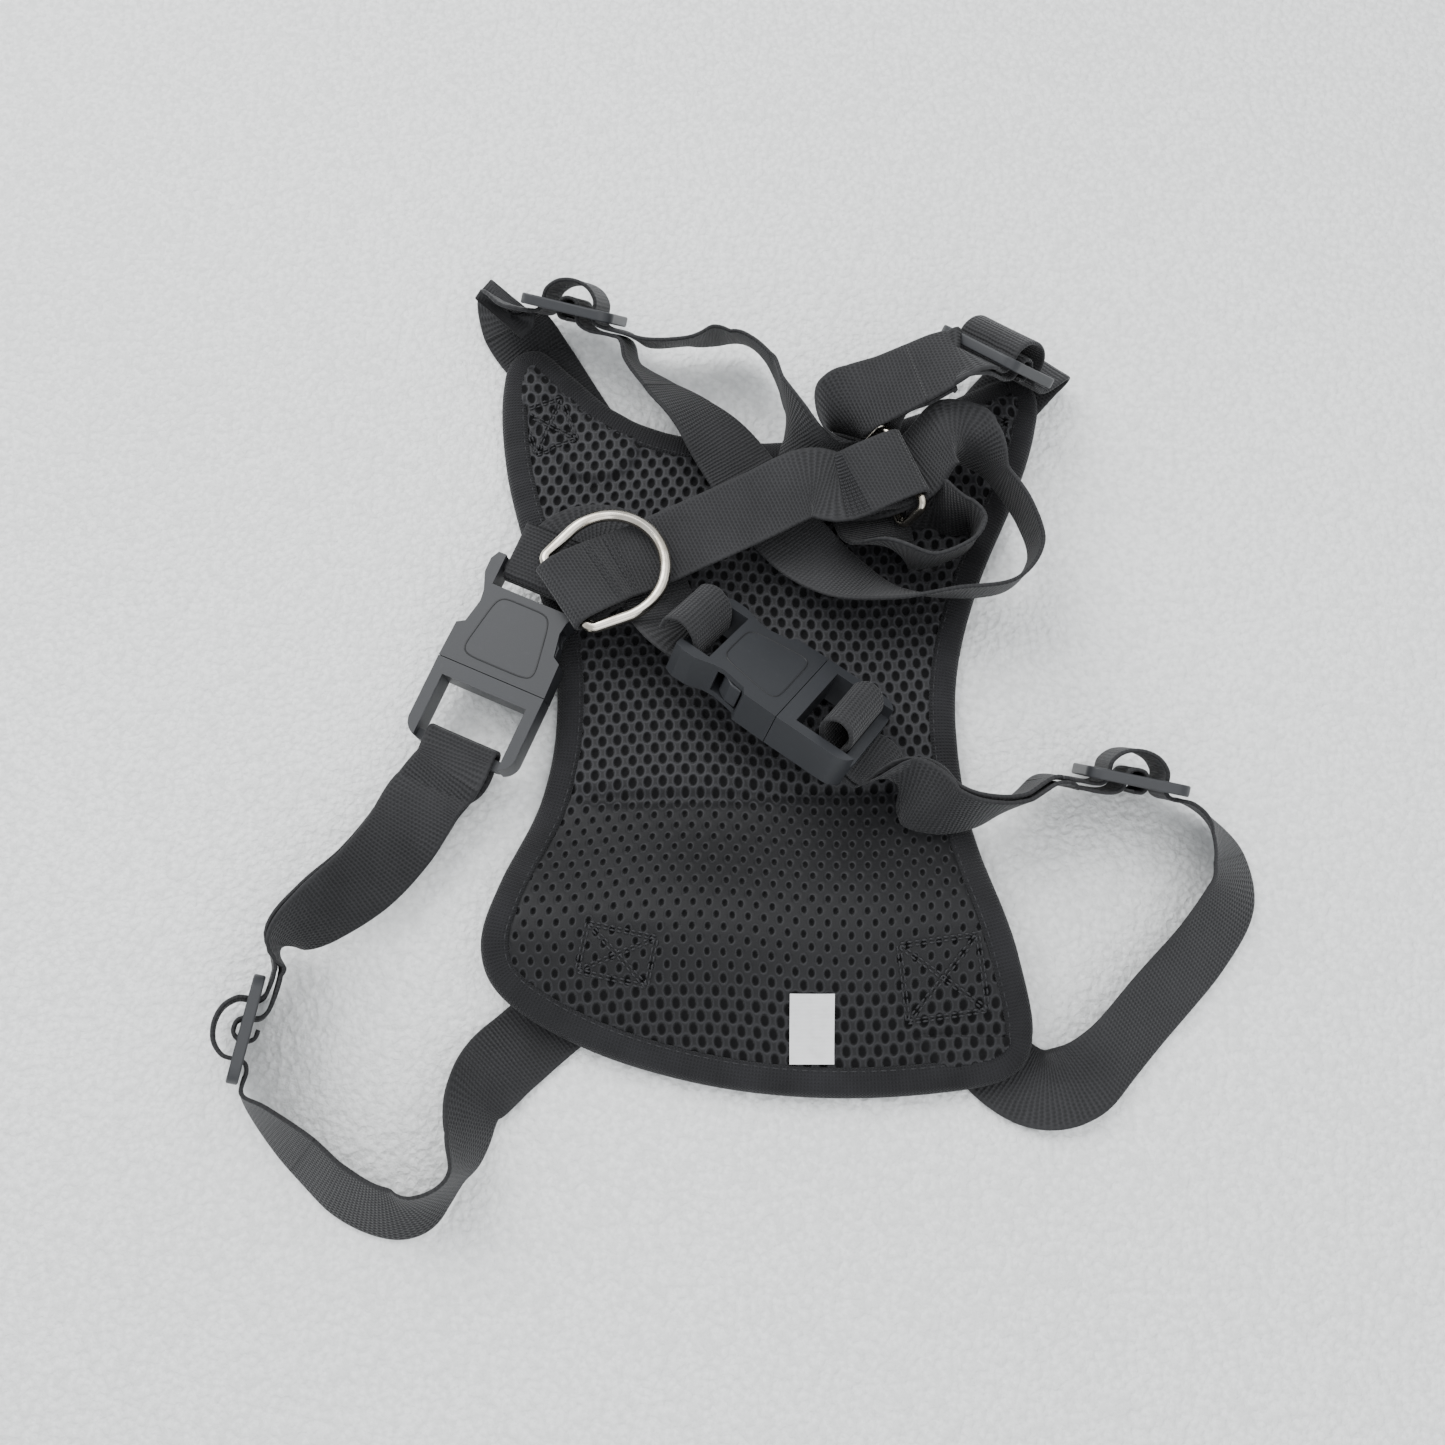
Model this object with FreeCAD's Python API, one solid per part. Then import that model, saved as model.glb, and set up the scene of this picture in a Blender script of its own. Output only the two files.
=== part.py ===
"""Padded chest harness with webbing straps, side-release buckles, strap sliders and steel rings.

Units are millimetres. The pad lies on its outer face, so its underside is z = 0 and +Z is up.
The origin is the centre of the pad's flat underside, +Y points to the neck end.
"""
import FreeCAD, Part
import math
import os
from FreeCAD import Vector

# ---- webbing ----
web_width = 25.0        # width of every strap
web_thick = 1.4         # thickness of every strap
web_gap = 0.8           # room between two layers that run together
samples_per_span = 4    # ribbon sections between two route points

# ---- breast pad ----
shell_thick = 1.6       # outer fabric
foam_thick = 4.0        # foam core
lining_thick = 1.4      # air-mesh lining
binding_thick = 0.7     # woven edge binding
binding_width = 9.0     # how far the binding reaches in from the edge
layer_gap = 0.1         # room between a pad layer and the binding round it
dome_height = 14.0      # the belly end of the pad arches up by this
dome_start = -34.0      # crease where the arch begins
dome_end = -127.0       # belly edge, back down on the surface
outline_steps = 112     # straight facets round the outline
tail_gap = 0.4          # room over a strap tail that passes under the pad edge
thread_thick = 0.5      # height of the stitching and of the size label over the lining
thread_width = 1.0
label_size = (14.0, 21.0)
stitch_gap = 0.3        # between the stitching and the binding's inner edge
label_place = (14.0, -110.5)

# ---- side-release buckle ----
buckle_length = 68.0
buckle_width = 38.5
buckle_thick = 12.0
buckle_mouth = 40.0     # where the two halves meet, from the female end
bar_size = 3.6          # webbing bars of both halves
bar_height = 4.0
waist_half = 14.6       # half width at the side windows
window_start = 16.0
window_end = 27.0
cavity_half_height = 4.2
wall = 2.6
slot_half = 13.4
male_gap = 0.25         # face gap between the halves
arm_width = 4.0         # side arms of the male frame
prong_thick = 3.0
prong_offset = 8.6      # inner face of a prong, from the middle
prong_tip = 17.6
tongue_half = 4.6

# ---- strap slider ----
slider_length = 33.0    # along the strap
slider_width = 34.0     # across the strap
slider_thick = 3.6
slider_bar = 4.0
slider_side = 4.0

# ---- rings ----
d_wire = 4.0
d_half_bar = 14.8       # half of the straight bar, at the wire's middle
d_bulge = 18.4          # half width at the widest place
d_depth = 35.5          # bar to far end, at the wire's middle
d_bend = 3.2            # bends at the ends of the bar
loop_wire = 3.2
loop_length = 32.0      # neck loop, at the wire's middle
loop_height = 13.0
loop_bend = 3.0
loop_lean = 58.0        # degrees that the neck loop stands up from level
bar_clear = 0.9         # webbing to the wire that it wraps

PAD_OUTLINE = [
    (-2, 95), (-30, 98), (-52, 107), (-68, 121), (-80, 131), (-90, 127), (-93, 110), (-90, 82),
    (-82, 52), (-72, 20), (-70, -10), (-74, -35), (-85, -64), (-90, -86), (-82, -102), (-55, -117),
    (-20, -127), (15, -131), (50, -130), (76, -125), (84, -112), (79, -88), (70, -55), (65, -20),
    (66, 10), (75, 42), (89, 74), (97, 98), (98, 114), (88, 120), (60, 108), (28, 98),
]

# middle, width, height and turn of each sewn box
STITCH_PATCHES = [(-75.5, 100, 13, 15, 20), (77.5, 95, 15, 16, -15), (-47, -88, 22, 15, -12), (55, -95, 25, 23, 8)]


# ---- vectors and frames ----

def unit(v):
    v = Vector(v)
    v.normalize()
    return v


class Frame:
    """A place with three square directions: u along, v across, n = u x v."""

    def __init__(self, origin, u, v):
        self.origin = Vector(*origin)
        self.u = unit(Vector(*u))
        v = Vector(*v)
        self.v = unit(v - self.u * v.dot(self.u))
        self.n = self.u.cross(self.v)

    def point(self, u, v=0.0, n=0.0):
        return self.origin + self.u * u + self.v * v + self.n * n

    def place(self, shape):
        m = FreeCAD.Matrix(
            self.u.x, self.v.x, self.n.x, self.origin.x,
            self.u.y, self.v.y, self.n.y, self.origin.y,
            self.u.z, self.v.z, self.n.z, self.origin.z,
            0, 0, 0, 1)
        placed = shape.copy()
        placed.Placement = FreeCAD.Placement(m)
        return placed


def box(u0, u1, v0, v1, n0, n1):
    return Part.makeBox(u1 - u0, v1 - v0, n1 - n0, Vector(u0, v0, n0))


def prism(points, z0, z1):
    corners = [Vector(x, y, z0) for x, y in points]
    return Part.Face(Part.makePolygon(corners + corners[:1])).extrude(Vector(0, 0, z1 - z0))


# ---- webbing ribbons ----

def spline(values, t):
    """Catmull-Rom curve through a list of vectors at the place t, counted in stations."""
    i = min(int(t), len(values) - 2)
    f = t - i
    p1, p2 = values[i], values[i + 1]
    p0 = values[i - 1] if i > 0 else p1 * 2 - p2
    p3 = values[i + 2] if i + 2 < len(values) else p2 * 2 - p1
    a = p1 * 2
    b = (p2 - p0) * f
    c = (p0 * 2 - p1 * 5 + p2 * 4 - p3) * (f * f)
    d = (p1 * 3 - p0 - p2 * 3 + p3) * (f * f * f)
    return (a + b + c + d) * 0.5


def ribbon_rails(route):
    """Middle, width direction and face normal at every section of a route of (point, width)."""
    points = [Vector(p) for p, _ in route]
    widths = [unit(w) for _, w in route]
    count = (len(route) - 1) * samples_per_span
    rails = []
    for k in range(count + 1):
        t = k / samples_per_span
        step = 0.01
        low, high = max(t - step, 0), min(t + step, len(route) - 1)
        along = unit(spline(points, high) - spline(points, low))
        w = spline(widths, t)
        w = unit(w - along * w.dot(along))
        rails.append((spline(points, t), w, along.cross(w)))
    return rails


def ribbon(route):
    """A closed strap of even width and thickness, made of flat facets along its route."""
    hw, ht = web_width / 2, web_thick / 2
    sections = []
    for middle, w, n in ribbon_rails(route):
        sections.append([middle + w * hw + n * ht, middle - w * hw + n * ht,
                         middle - w * hw - n * ht, middle + w * hw - n * ht])
    faces = []

    def quad(a, b, c, d):
        faces.append(Part.Face(Part.makePolygon([a, b, c, a])))
        faces.append(Part.Face(Part.makePolygon([a, c, d, a])))

    quad(*sections[0])
    quad(*reversed(sections[-1]))
    for s, e in zip(sections, sections[1:]):
        for i in range(4):
            j = (i + 1) % 4
            quad(s[j], s[i], e[i], e[j])
    solid = Part.makeSolid(Part.makeShell(faces))
    if solid.Volume < 0:
        solid.reverse()
    return solid


def stations(rows):
    """Rows of x, y, z and a width direction, as route stations."""
    return [(Vector(*row[:3]), Vector(*row[3:])) for row in rows]


def beside(route, side):
    """The same route moved off to one face by half the step between two layers."""
    step = (web_thick + web_gap) / 2 * side
    rails = ribbon_rails(route)[::samples_per_span]
    return [(middle + n * step, w) for middle, w, n in rails]


def in_plane(frame, path, side=1):
    """A path of (u, n) pairs in a frame's own plane, with the width along its v."""
    return [(frame.point(u, 0, n * side), frame.v) for u, n in path]


# ---- where the hardware sits ----

SLIDERS = {
    "neck_left": (Frame((-66, 138.5, 21), (0.966, -0.26, 0), (-0.127, -0.472, 0.872)), -1),
    "neck_right": (Frame((81, 116.7, 27), (-0.618, -0.176, 0.766), (0.658, -0.649, 0.382)), 1),
    "belly_left": (Frame((-161.5, -111, 18), (0.18, 0.98, 0), (0.30, -0.055, 0.952)), -1),
    "belly_right": (Frame((117.7, -31.5, 18.5), (-0.978, 0.21, 0), (-0.06, -0.279, 0.958)), 1),
}
BUCKLES = {
    "left": Frame((-73.9, 39.9, 16.8), (-0.40, -0.915, -0.06), (0.915, -0.40, 0)),
    "right": Frame((-22.7, 17.1, 24), (0.816, -0.578, 0), (0.480, 0.678, -0.556)),
}
D_RING = Frame((-65.5, 29.4, 27.2), (0.835, 0.55, 0.0), (-0.55, 0.835, 0))
NECK_LOOP = Frame((47.4, 75.4, 27.5), (0.917, 0.40, 0), (-0.40, 0.917, 0))

# how the webbing runs through a slider, as (along the strap, off the slider's face)
main_run = slider_thick / 2 + web_thick / 2 + 0.9
end_run = main_run + web_thick + web_gap
SLIDER_OVER = [(-19, -main_run - 0.3), (-12.2, -main_run), (-9.6, -1.9), (-9.2, 1.2), (-8.6, 5.0), (-5.2, 8.4),
               (0, 9.6), (5.2, 8.4), (8.6, 5.0), (9.2, 1.2), (9.6, -1.9), (12.2, -main_run),
               (19, -main_run - 0.3)]
SLIDER_END = [(19, -end_run - 0.3), (9, -end_run), (4.6, -4.0), (3.5, -1.0), (3.3, 1.2), (2.0, 3.1), (0, 3.6),
              (-2.0, 3.1), (-3.3, 1.2), (-3.5, -1.0), (-2.2, -3.2), (0.4, -3.6)]


# ---- breast pad ----

def pad_height(y):
    """Height of the pad's underside: level at the neck end, one smooth arch at the belly end."""
    s = (dome_start - y) / (dome_start - dome_end)
    if s <= 0 or s >= 1:
        return 0.0
    return dome_height * 0.5 * (1 - math.cos(2 * math.pi * s))


def outline(inset):
    """The pad's outline as a ring of points, moved in by the inset."""
    curve = Part.BSplineCurve()
    curve.interpolate([Vector(x, y, 0) for x, y in PAD_OUTLINE], PeriodicFlag=True)
    first, last = curve.FirstParameter, curve.LastParameter
    ring = []
    for k in range(outline_steps):
        t = first + (last - first) * k / outline_steps
        p, d = curve.value(t), curve.tangent(t)[0]
        ring.append((p.x - d.y * inset, p.y + d.x * inset))
    return ring


def layer(low, high):
    """A sheet between two heights over the pad's underside, much wider than the pad."""
    reach, steps = 150.0, 20
    ys = [-reach] + [dome_end + (dome_start - dome_end) * k / steps for k in range(steps + 1)] + [reach]
    corners = [Vector(-reach, y, pad_height(y) + low) for y in ys]
    corners += [Vector(-reach, y, pad_height(y) + high) for y in reversed(ys)]
    return Part.Face(Part.makePolygon(corners + corners[:1])).extrude(Vector(2 * reach, 0, 0))


def pad_piece(inset, low, high):
    return layer(low, high).common(prism(outline(inset), -5, 60))


def tail_notch(tail):
    """Room under the pad's edge for a strap tail: a straight-sided channel with a level top."""
    (x0, y0), (x1, y1), top = tail
    along = unit((x1 - x0, y1 - y0, 0))
    side = Vector(-along.y, along.x, 0) * (web_width / 2 + tail_gap)
    ends = [Vector(x0, y0, 0) - along * 3, Vector(x1, y1, 0)]
    ring = [ends[0] + side, ends[0] - side, ends[1] - side, ends[1] + side]
    return prism([(p.x, p.y) for p in ring], -1, top)


TAILS = [
    ((-60, 96), (-88, 140), 2.2),
    ((66, 88), (104, 132), 2.6),
    ((-58, -98), (-104, -136), 2.6),
    ((58, -103), (90, -145), 2.6),
]


def pad_layers():
    notches = Part.makeCompound([tail_notch(t) for t in TAILS])
    total = binding_thick * 2 + shell_thick + foam_thick + lining_thick
    skin = binding_thick
    edge_in = binding_thick + layer_gap
    shell = pad_piece(edge_in, skin + layer_gap, skin + shell_thick)
    shell = shell.fuse(pad_piece(binding_width + layer_gap, 0, skin + layer_gap)).removeSplitter()
    low = skin + shell_thick
    foam = pad_piece(edge_in, low, low + foam_thick)
    low += foam_thick
    lining = pad_piece(edge_in, low, low + lining_thick - layer_gap)
    rim = pad_piece(0, 0, total).cut(pad_piece(binding_width, -1, total + 1))
    rim = rim.cut(pad_piece(binding_thick, skin, total - skin))
    return {
        "outer_shell": shell.cut(notches),
        "foam_core": foam.cut(notches),
        "mesh_lining": lining,
        "edge_binding": rim.cut(notches),
    }, total - skin - layer_gap


def turned_rectangle(x, y, width, height, degrees):
    a = math.radians(degrees)
    corners = [(-width / 2, -height / 2), (width / 2, -height / 2), (width / 2, height / 2), (-width / 2, height / 2)]
    return [(x + p * math.cos(a) - q * math.sin(a), y + p * math.sin(a) + q * math.cos(a)) for p, q in corners]


def thread_line(a, b):
    """One straight row of stitches between two places, as seen from above."""
    d = unit((b[0] - a[0], b[1] - a[1], 0))
    s = Vector(-d.y, d.x, 0) * (thread_width / 2)
    ends = [Vector(a[0], a[1], 0) - d * (thread_width / 2), Vector(b[0], b[1], 0) + d * (thread_width / 2)]
    ring = [ends[0] + s, ends[0] - s, ends[1] - s, ends[1] + s]
    return prism([(p.x, p.y) for p in ring], -1, 60)


def corner_stitching(top):
    """A box with a cross in it at each of the four places where a strap is sewn on."""
    sheet = layer(top, top + thread_thick)
    patches = []
    for patch in STITCH_PATCHES:
        c = turned_rectangle(*patch)
        rows = [thread_line(c[i], c[(i + 1) % 4]) for i in range(4)]
        rows += [thread_line(c[0], c[2]), thread_line(c[1], c[3])]
        plan = rows[0]
        for row in rows[1:]:
            plan = plan.fuse(row)
        patches.append(plan.common(sheet).common(prism(outline(binding_width + stitch_gap), -1, 60)))
    return Part.makeCompound(patches)


def size_label(top):
    ring = turned_rectangle(*label_place, *label_size, 0)
    return layer(top, top + thread_thick).common(prism(ring, -1, 60))


# ---- side-release buckle, in its own frame: u from the female bar, v across, n up ----

def female_half():
    half, t = buckle_width / 2, buckle_thick / 2
    side = [(0, half - 3), (3, half - 1.5), (8, half - 1.6), (14, waist_half + 0.6), (window_start + 2, waist_half),
            (window_end - 1, waist_half + 1.6), (window_end + 0.6, half - 0.4), (buckle_mouth, half)]
    ring = side + [(u, -v) for u, v in reversed(side)]
    body = prism(ring, -t, t)
    for low, high in ((bar_height / 2, t + 1), (-t - 1, -bar_height / 2)):
        body = body.cut(box(-1, bar_size + 0.01, -slot_half, slot_half, low, high))
    body = body.cut(box(bar_size, bar_size + 7.4, -slot_half, slot_half, -t - 1, t + 1))
    inner = half - wall
    cavity = box(window_end + 0.4, buckle_mouth + 1, -inner, inner, -cavity_half_height, cavity_half_height)
    narrow = waist_half - 1.4
    cavity = cavity.fuse(box(bar_size + 10.4, window_end + 1, -narrow, narrow,
                             -cavity_half_height, cavity_half_height))
    windows = box(window_start, window_end, -half - 1, half + 1, -cavity_half_height, cavity_half_height)
    return body.cut(cavity.fuse(windows))


def rounded_frame(u0, u1, half, t, radius):
    plate = box(u0, u1, -half, half, -t, t)
    corners = [e for e in plate.Edges if abs(e.tangentAt(e.FirstParameter).z) > 0.99 and e.CenterOfMass.x > u1 - 1]
    return plate.makeFillet(radius, corners)


def male_half():
    half, t = buckle_width / 2, buckle_thick / 2
    start = buckle_mouth + male_gap
    frame = rounded_frame(start, buckle_length, half, t, 6.0)
    slot = box(start + 5.4, buckle_length - bar_size, -half + arm_width, half - arm_width, -t - 1, t + 1)
    frame = frame.cut(slot)
    over = box(buckle_length - bar_size - 0.01, buckle_length + 1, -half + arm_width, half - arm_width, bar_height / 2, t + 1)
    under = box(buckle_length - bar_size - 0.01, buckle_length + 1, -half + arm_width, half - arm_width,
                -t - 1, -bar_height / 2)
    frame = frame.cut(over).cut(under)
    tongue = box(bar_size + 20, start + 1, -tongue_half, tongue_half, -2.4, 2.4)
    return frame.fuse(tongue).removeSplitter()


def prong(side):
    """One springy arm with the press tab that fills a side window."""
    start = buckle_mouth + male_gap
    a, b = prong_offset, prong_offset + prong_thick
    tab = waist_half + 1.7
    ring = [(start, a), (start, b), (window_end - 1.2, b), (window_end - 1.0, tab), (window_end - 5, tab - 0.2),
            (window_start + 2.6, b + 2.0), (prong_tip, b - 0.6), (prong_tip, a + 0.8), (prong_tip + 2, a)]
    shape = prism(ring, -cavity_half_height + 0.4, cavity_half_height - 0.4)
    if side < 0:
        shape = shape.mirror(Vector(0, 0, 0), Vector(0, 1, 0))
    return shape


# ---- strap slider, in its own frame: u along the strap, v across, n up ----

def slider():
    hl, hw, ht = slider_length / 2, slider_width / 2, slider_thick / 2
    plate = box(-hl, hl, -hw, hw, -ht, ht)
    upright = [e for e in plate.Edges if abs(e.tangentAt(e.FirstParameter).z) > 0.99]
    plate = plate.makeFillet(5.0, upright)
    for s in (-1, 1):
        inner, outer = slider_bar / 2, hl - slider_bar
        low, high = (inner, outer) if s > 0 else (-outer, -inner)
        plate = plate.cut(box(low, high, -hw + slider_side, hw - slider_side, -ht - 1, ht + 1))
    return plate


# ---- rings ----

def wire_ring(points, radius, frame):
    """A round wire bent along a closed smooth path in the frame's u-v plane."""
    path = Part.Wire(points)
    start = path.Edges[0].valueAt(path.Edges[0].FirstParameter)
    along = path.Edges[0].tangentAt(path.Edges[0].FirstParameter)
    profile = Part.Wire(Part.makeCircle(radius, start, along))
    ring = path.makePipeShell([profile], True, False, 2)
    return frame.place(Part.Solid(ring))


def bend(before, corner, after, radius):
    """A round bend of a wire at a corner: its first, middle and last points."""
    back, on = unit(before - corner), unit(after - corner)
    half = back.getAngle(on) / 2
    reach = radius / math.tan(half)
    middle = corner + unit(back + on) * (radius / math.sin(half) - radius)
    return corner + back * reach, middle, corner + on * reach


def d_ring():
    """A straight bar, two arms that flare out and a round end, with a small bend at each end of the bar."""
    centre = Vector(d_depth - d_bulge, 0, 0)
    top, low = Vector(0, d_half_bar, 0), Vector(0, -d_half_bar, 0)
    out = top - centre
    turn = math.atan2(out.y, out.x) - math.acos(d_bulge / out.Length)
    touch = centre + Vector(math.cos(turn), math.sin(turn), 0) * d_bulge
    touch_low = Vector(touch.x, -touch.y, 0)
    a, b = bend(low, top, touch, d_bend), bend(touch_low, low, top, d_bend)
    edges = [
        Part.LineSegment((a[0] + b[2]) * 0.5, a[0]).toShape(),
        Part.Arc(*a).toShape(),
        Part.LineSegment(a[2], touch).toShape(),
        Part.Arc(touch, centre + Vector(d_bulge, 0, 0), touch_low).toShape(),
        Part.LineSegment(touch_low, b[0]).toShape(),
        Part.Arc(*b).toShape(),
        Part.LineSegment(b[2], (a[0] + b[2]) * 0.5).toShape(),
    ]
    return wire_ring(edges, d_wire / 2, D_RING)


def loop_frame():
    """The neck loop's own frame: u down from the folded bar to the lower bar, v along the bars."""
    a = math.radians(loop_lean)
    down = NECK_LOOP.u * -math.cos(a) - Vector(0, 0, math.sin(a))
    return Frame(tuple(NECK_LOOP.origin), tuple(down), tuple(NECK_LOOP.v))


def neck_loop():
    """A rectangle of wire with round corners."""
    w = loop_length / 2
    corners = [Vector(0, w, 0), Vector(loop_height, w, 0), Vector(loop_height, -w, 0), Vector(0, -w, 0)]
    bends = [bend(corners[i - 1], corners[i], corners[(i + 1) % 4], loop_bend) for i in range(4)]
    start = (bends[3][2] + bends[0][0]) * 0.5
    edges = [Part.LineSegment(start, bends[0][0]).toShape()]
    for i in range(4):
        edges.append(Part.Arc(*bends[i]).toShape())
        following = bends[i + 1][0] if i < 3 else start
        edges.append(Part.LineSegment(bends[i][2], following).toShape())
    return wire_ring(edges, loop_wire / 2, loop_frame())


# ---- straps ----

def shoulder_left():
    frame, side = SLIDERS["neck_left"]
    tail = stations([
        (-60, 96, 0.75, 0.86, 0.5, 0), (-70, 112, 0.75, 0.86, 0.5, 0), (-79, 127, 0.9, 0.86, 0.5, 0),
        (-83.5, 133.5, 2.4, 0.86, 0.45, 0.01), (-89.5, 139.5, 8.8, 0.8, 0.2, 0.35), (-91.5, 143, 14.5, 0.45, -0.1, 0.85)])
    upper = stations([
        (-40, 127, 18.5, 0, -0.4, 0.9), (-26, 127.5, 19, 0, -0.4, 0.9), (-17, 129.5, 19, 0, -0.25, 0.95),
        (-8, 128.5, 19.5, 0, -0.4, 0.9), (-1, 122.5, 21, 0, -0.4, 0.9), (4.5, 113, 22.5, 0.05, -0.4, 0.9),
        (7.5, 103, 24.5, 0, -0.25, 0.9), (11, 92, 25, 0.25, 0, 0.9), (15.5, 80.5, 22.4, 0.6, 0.3, 0.7),
        (25.5, 73.5, 20.9, 0.1, 0.85, 0.5), (34.5, 71, 21.2, -0.40, 0.917, 0.1), (43, 72.8, 21.8, -0.40, 0.917, 0),
        (52.5, 77.5, 23.6, -0.4, 0.9, -0.08), (61, 84.5, 33.6, -0.3, 0.9, -0.1), (70, 83, 28, -0.1, 0.45, 0.8),
        (80, 75, 21.8, 0, -0.1, 1), (88.5, 60, 21.8, 0, -0.1, 1),
        (91, 46, 21.8, 0, -0.15, 1), (81.5, 34.5, 21.8, 0, -0.2, 1), (62, 32, 21.6, 0, -0.25, 1),
        (43, 32.5, 20, 0, -0.5, 0.85), (27, 39, 17.0, -0.25, -0.75, 0.5), (13, 51, 14.8, -0.55, -0.75, 0.15),
        (1, 67, 13.2, -0.8, -0.55, 0.03), (-12, 86.5, 13.8, -0.8, -0.5, 0.22), (-24.5, 101, 17, -0.5, -0.6, 0.6),
        (-36, 111.5, 16.5, -0.2, -0.6, 0.77), (-45, 120.5, 16.5, -0.1, -0.5, 0.87)])
    end = in_plane(frame, SLIDER_END, side)
    return ribbon(tail + in_plane(frame, SLIDER_OVER, side) + upper + end)


def shoulder_right():
    frame, side = SLIDERS["neck_right"]
    tail = stations([
        (66, 88, 0.75, 0.76, -0.65, 0), (77, 101, 0.75, 0.76, -0.65, 0), (89, 115, 1.0, 0.76, -0.65, 0),
        (98, 124.5, 3.3, 0.76, -0.65, 0.05), (100, 125.5, 8.8, 0.72, -0.65, 0.15)])
    double = stations([
        (62, 109, 38.5, 0.5, -0.78, 0.35), (52, 105.5, 35, 0.45, -0.85, 0.25), (42, 102.5, 31, 0.42, -0.88, 0.15)])
    turn = stations([
        (33, 100, 29.2, 0.42, -0.9, -0.1), (26, 96.5, 27.5, 0.4, -0.6, -0.6), (21, 90.5, 25, 0, 0, -1),
        (21.5, 82.5, 21.5, -0.6, -0.3, -0.7), (27.5, 76, 18.9, -0.1, -0.85, -0.5),
        (34.5, 73.5, 18.6, 0.42, -0.9, -0.1), (42.5, 74.2, 19.3, 0.40, -0.917, 0),
        (51, 73.5, 17.2, 0.4, -0.91, -0.02), (57.5, 69.0, 16.0, 0.4, -0.9, -0.02), (63.5, 63, 19.4, 0.2, -0.4, -0.8),
        (70.5, 59.5, 21.6, 0, 0.1, -1), (72.5, 54.5, 21.6, 0, 0.15, -1), (68, 48.5, 21.4, 0, 0.2, -1),
        (56, 43.5, 21.4, 0, 0.2, -1), (46.5, 46, 21.2, 0.1, 0.1, -0.9), (40, 53.5, 16.5, 0.75, 0.4, -0.4),
        (37, 63, 10.0, 0.95, 0.2, 0), (35.5, 74, 9.7, 1, 0, 0), (35, 86, 11, 0.95, -0.3, 0),
        (38, 96, 18, 0.6, -0.75, 0.1)])
    back = beside(double, -1)
    back.reverse()
    end = in_plane(frame, SLIDER_END, side)
    return ribbon(tail + in_plane(frame, SLIDER_OVER, side) + beside(double, 1) + turn + back + end)


def male_wrap(frame, side, roll):
    """Webbing round a male bar: flat, or standing up in a loose roll."""
    u = buckle_length - bar_size / 2
    r = bar_height / 2 + web_thick / 2 + bar_clear
    if not roll:
        return in_plane(frame, [(u + 8, r), (u, r), (u - 3.4, r - 0.4), (u - 4.4, 0), (u - 3.4, -r + 0.4),
                                (u, -r), (u + 8, -r)], side)
    return in_plane(frame, [(u + 8, -r), (u, -r), (u - 3.6, -r + 0.9), (u - 3.8, 2), (u - 2.2, 6.5), (u - 4.6, 11.5),
                            (u - 9.5, 12.6), (u - 13, 8.5), (u - 11.5, 3), (u - 8, -1.5), (u - 5.4, -r - 0.9),
                            (u, -r - web_thick - web_gap), (u + 8, -r - web_thick - web_gap)], side)


def belly_left():
    frame, side = SLIDERS["belly_left"]
    tail = stations([
        (-42, -84, 11.2, -0.64, 0.76, 0.1), (-54, -94, 8.2, -0.64, 0.76, 0.28), (-66, -104.5, 2.7, -0.64, 0.76, 0.1),
        (-77, -114, 1.1, -0.64, 0.76, 0), (-85, -122, 5.0, -0.68, 0.5, 0.3), (-91.0, -132, 10.6, -0.6, 0.1, 0.75),
        (-92.5, -144, 12.4, -0.4, -0.05, 0.9), (-94.5, -154, 13.4, -0.15, -0.1, 1), (-102, -162, 13.0, 0, 0.3, 1),
        (-111, -165.5, 11.4, 0.05, 0.6, 0.85), (-121, -164, 10.8, 0.1, 0.65, 0.8), (-132, -158, 10.8, 0.12, 0.7, 0.78),
        (-143, -148, 12, 0.3, 0.5, 0.8), (-155, -137, 15, 0.35, 0.2, 0.9)])
    double = stations([
        (-153, -84, 19, 0.2, 0.35, 0.9), (-141, -74, 18, -0.2, 0.65, 0.75), (-128, -63, 16.5, -0.5, 0.65, 0.55),
        (-118, -50, 15, -0.75, 0.5, 0.4), (-110.5, -36, 13.5, -0.9, 0.4, 0.1)])
    wrap = male_wrap(BUCKLES["left"], 1, False)
    return ribbon(tail + in_plane(frame, SLIDER_OVER, side) + beside(double, -1) + flipped(wrap)
                  + reversed_route(beside(double, 1)) + in_plane(frame, SLIDER_END, side))


def flipped(route):
    return [(p, w * -1) for p, w in route]


def reversed_route(route):
    return list(reversed(route))


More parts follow.
